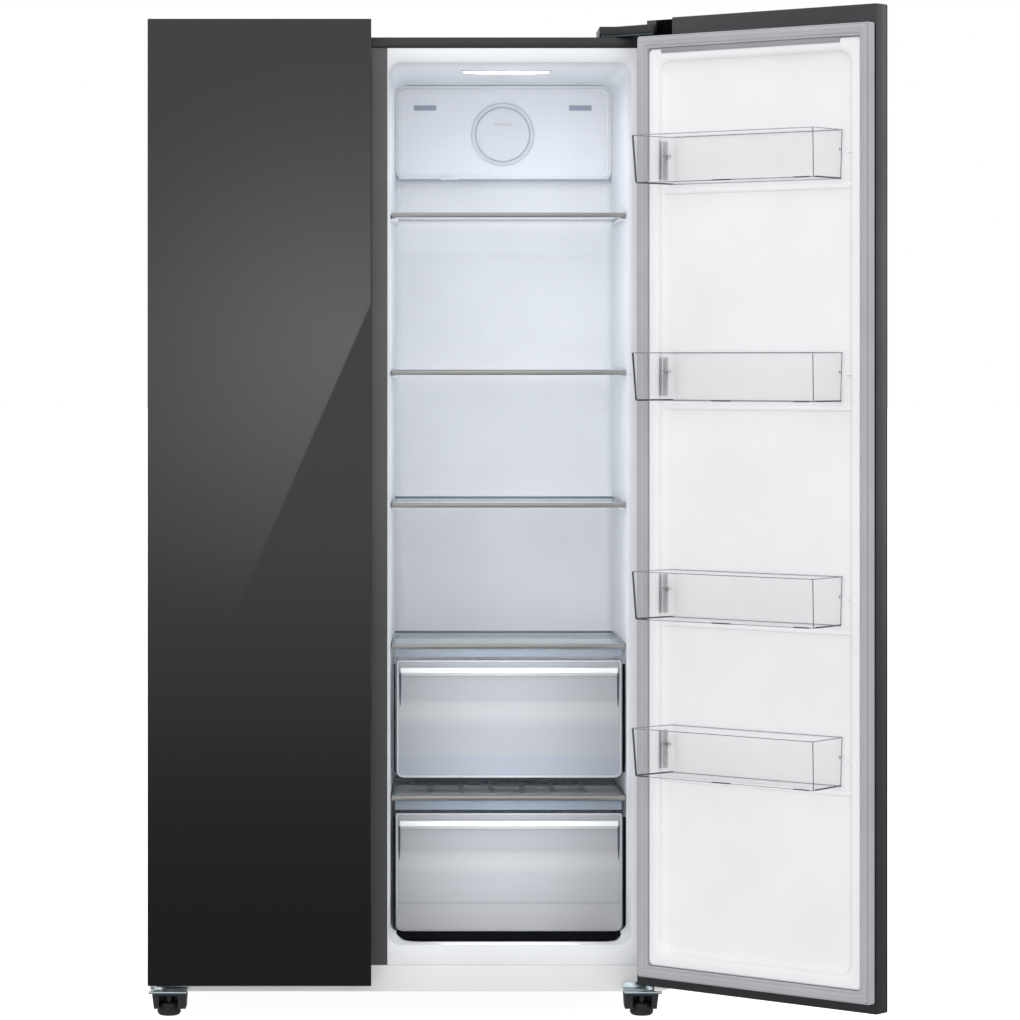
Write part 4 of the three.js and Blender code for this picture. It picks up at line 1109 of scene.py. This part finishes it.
def studio():
    """White to the camera, an even white for soft light, and a graded sky for the reflections."""
    world = bpy.data.worlds.new("studio")
    world.use_nodes = True
    scene.world = world
    nodes, links = world.node_tree.nodes, world.node_tree.links
    white = nodes["Background"]
    adjust(white, {"Color": (1, 1, 1, 1)})
    around = nodes.new("ShaderNodeBackground")
    mix = nodes.new("ShaderNodeMixShader")
    path = nodes.new("ShaderNodeLightPath")
    strength = nodes.new("ShaderNodeMapRange")
    adjust(strength, {"To Min": SOFT_LIGHT, "To Max": 1.0})
    links.new(path.outputs["Is Camera Ray"], strength.inputs["Value"])
    links.new(strength.outputs["Result"], white.inputs["Strength"])
    links.new(path.outputs["Is Glossy Ray"], mix.inputs["Fac"])
    links.new(white.outputs["Background"], mix.inputs[1])
    links.new(around.outputs["Background"], mix.inputs[2])
    links.new(mix.outputs["Shader"], nodes["World Output"].inputs["Surface"])
    where = nodes.new("ShaderNodeTexCoord")
    split = nodes.new("ShaderNodeSeparateXYZ")
    height = nodes.new("ShaderNodeMapRange")
    low, high = SKY[0][0], SKY[-1][0]
    adjust(height, {"From Min": low, "From Max": high})
    ramp = nodes.new("ShaderNodeValToRGB")
    fill_ramp(ramp, [((place - low) / (high - low), (value, value, value * 1.03)) for place, value in SKY])
    links.new(where.outputs["Generated"], split.inputs["Vector"])
    links.new(split.outputs["Z"], height.inputs["Value"])
    links.new(height.outputs["Result"], ramp.inputs["Fac"])
    links.new(ramp.outputs["Color"], around.inputs["Color"])
    adjust(around, {"Strength": 1.0})


CARD_AWAY = -4.74  # in front of the shut door


def glow_card():
    """A lit card in front of the shut door, brightest at one corner: the door mirrors its slanting edge."""
    top, foot = Vector((-0.100, CARD_AWAY, 1.340)), Vector((-0.533, CARD_AWAY, 0.354))
    along = (top - foot).normalized()
    corners = [foot - along * 0.5, top + along * 1.6]
    corners += [Vector((-1.6, CARD_AWAY, 3.6)), Vector((-1.6, CARD_AWAY, -0.1))]
    base = Vector((MIDDLE, FRONT, 0))
    mesh = bpy.data.meshes.new("glow_card")
    mesh.from_pydata([c - top for c in corners], [], [(0, 1, 2, 3)])
    material = bpy.data.materials.new("glow_card")
    material.use_nodes = True
    nodes, links = material.node_tree.nodes, material.node_tree.links
    nodes.remove(nodes["Principled BSDF"])
    where = nodes.new("ShaderNodeTexCoord")
    distance = nodes.new("ShaderNodeVectorMath")
    distance.operation = "LENGTH"
    spread = nodes.new("ShaderNodeMapping")
    adjust(spread, {"Scale": (0.9, 1, 1.05), "Location": (0.05, 0, 0.129)})
    links.new(where.outputs["Object"], spread.inputs["Vector"])
    links.new(spread.outputs["Vector"], distance.inputs[0])
    fade = nodes.new("ShaderNodeMapRange")
    fade.interpolation_type = "SMOOTHSTEP"
    adjust(fade, {"From Min": -0.25, "From Max": 1.0, "To Min": 1.9, "To Max": 0.0})
    links.new(distance.outputs["Value"], fade.inputs["Value"])
    glow = nodes.new("ShaderNodeEmission")
    links.new(fade.outputs["Result"], glow.inputs["Strength"])
    clear_part = nodes.new("ShaderNodeBsdfTransparent")
    both = nodes.new("ShaderNodeAddShader")
    links.new(glow.outputs["Emission"], both.inputs[0])
    links.new(clear_part.outputs["BSDF"], both.inputs[1])
    links.new(both.outputs["Shader"], nodes["Material Output"].inputs["Surface"])
    mesh.materials.append(material)
    card = bpy.data.objects.new("glow_card", mesh)
    card.location = base + top
    card.visible_camera = False
    card.visible_diffuse = False
    card.visible_shadow = False
    card.visible_transmission = False
    scene.collection.objects.link(card)


stage_floor()
studio()
glow_card()
middle = Vector((MIDDLE, FRONT + 0.3, 0.9))
softbox("key", middle + Vector((-1.2, -7.0, 1.6)), middle, (4, 3), 100)
softbox("top", middle + Vector((0.5, 0.5, 4.5)), middle, (6, 6), 120)
inside = (extent("fridge_lamp")[0] + extent("fridge_lamp")[1]) / 2
lamp_place = SCALE @ Vector((inside.x, inside.y - 30, inside.z - 14))
softbox("fridge_light", lamp_place, lamp_place + Vector((0, 0.12, -1)), (0.16, 0.05), 0.36, COOL)
for c in WALLS:
    mouth = SCALE @ Vector((sum(WALLS[c][0]) / 2, 66, 830))
    softbox(f"{c}_glow", mouth, mouth + Vector((0, 1, 0)), (0.25, 1.45), 1.68, COOL)
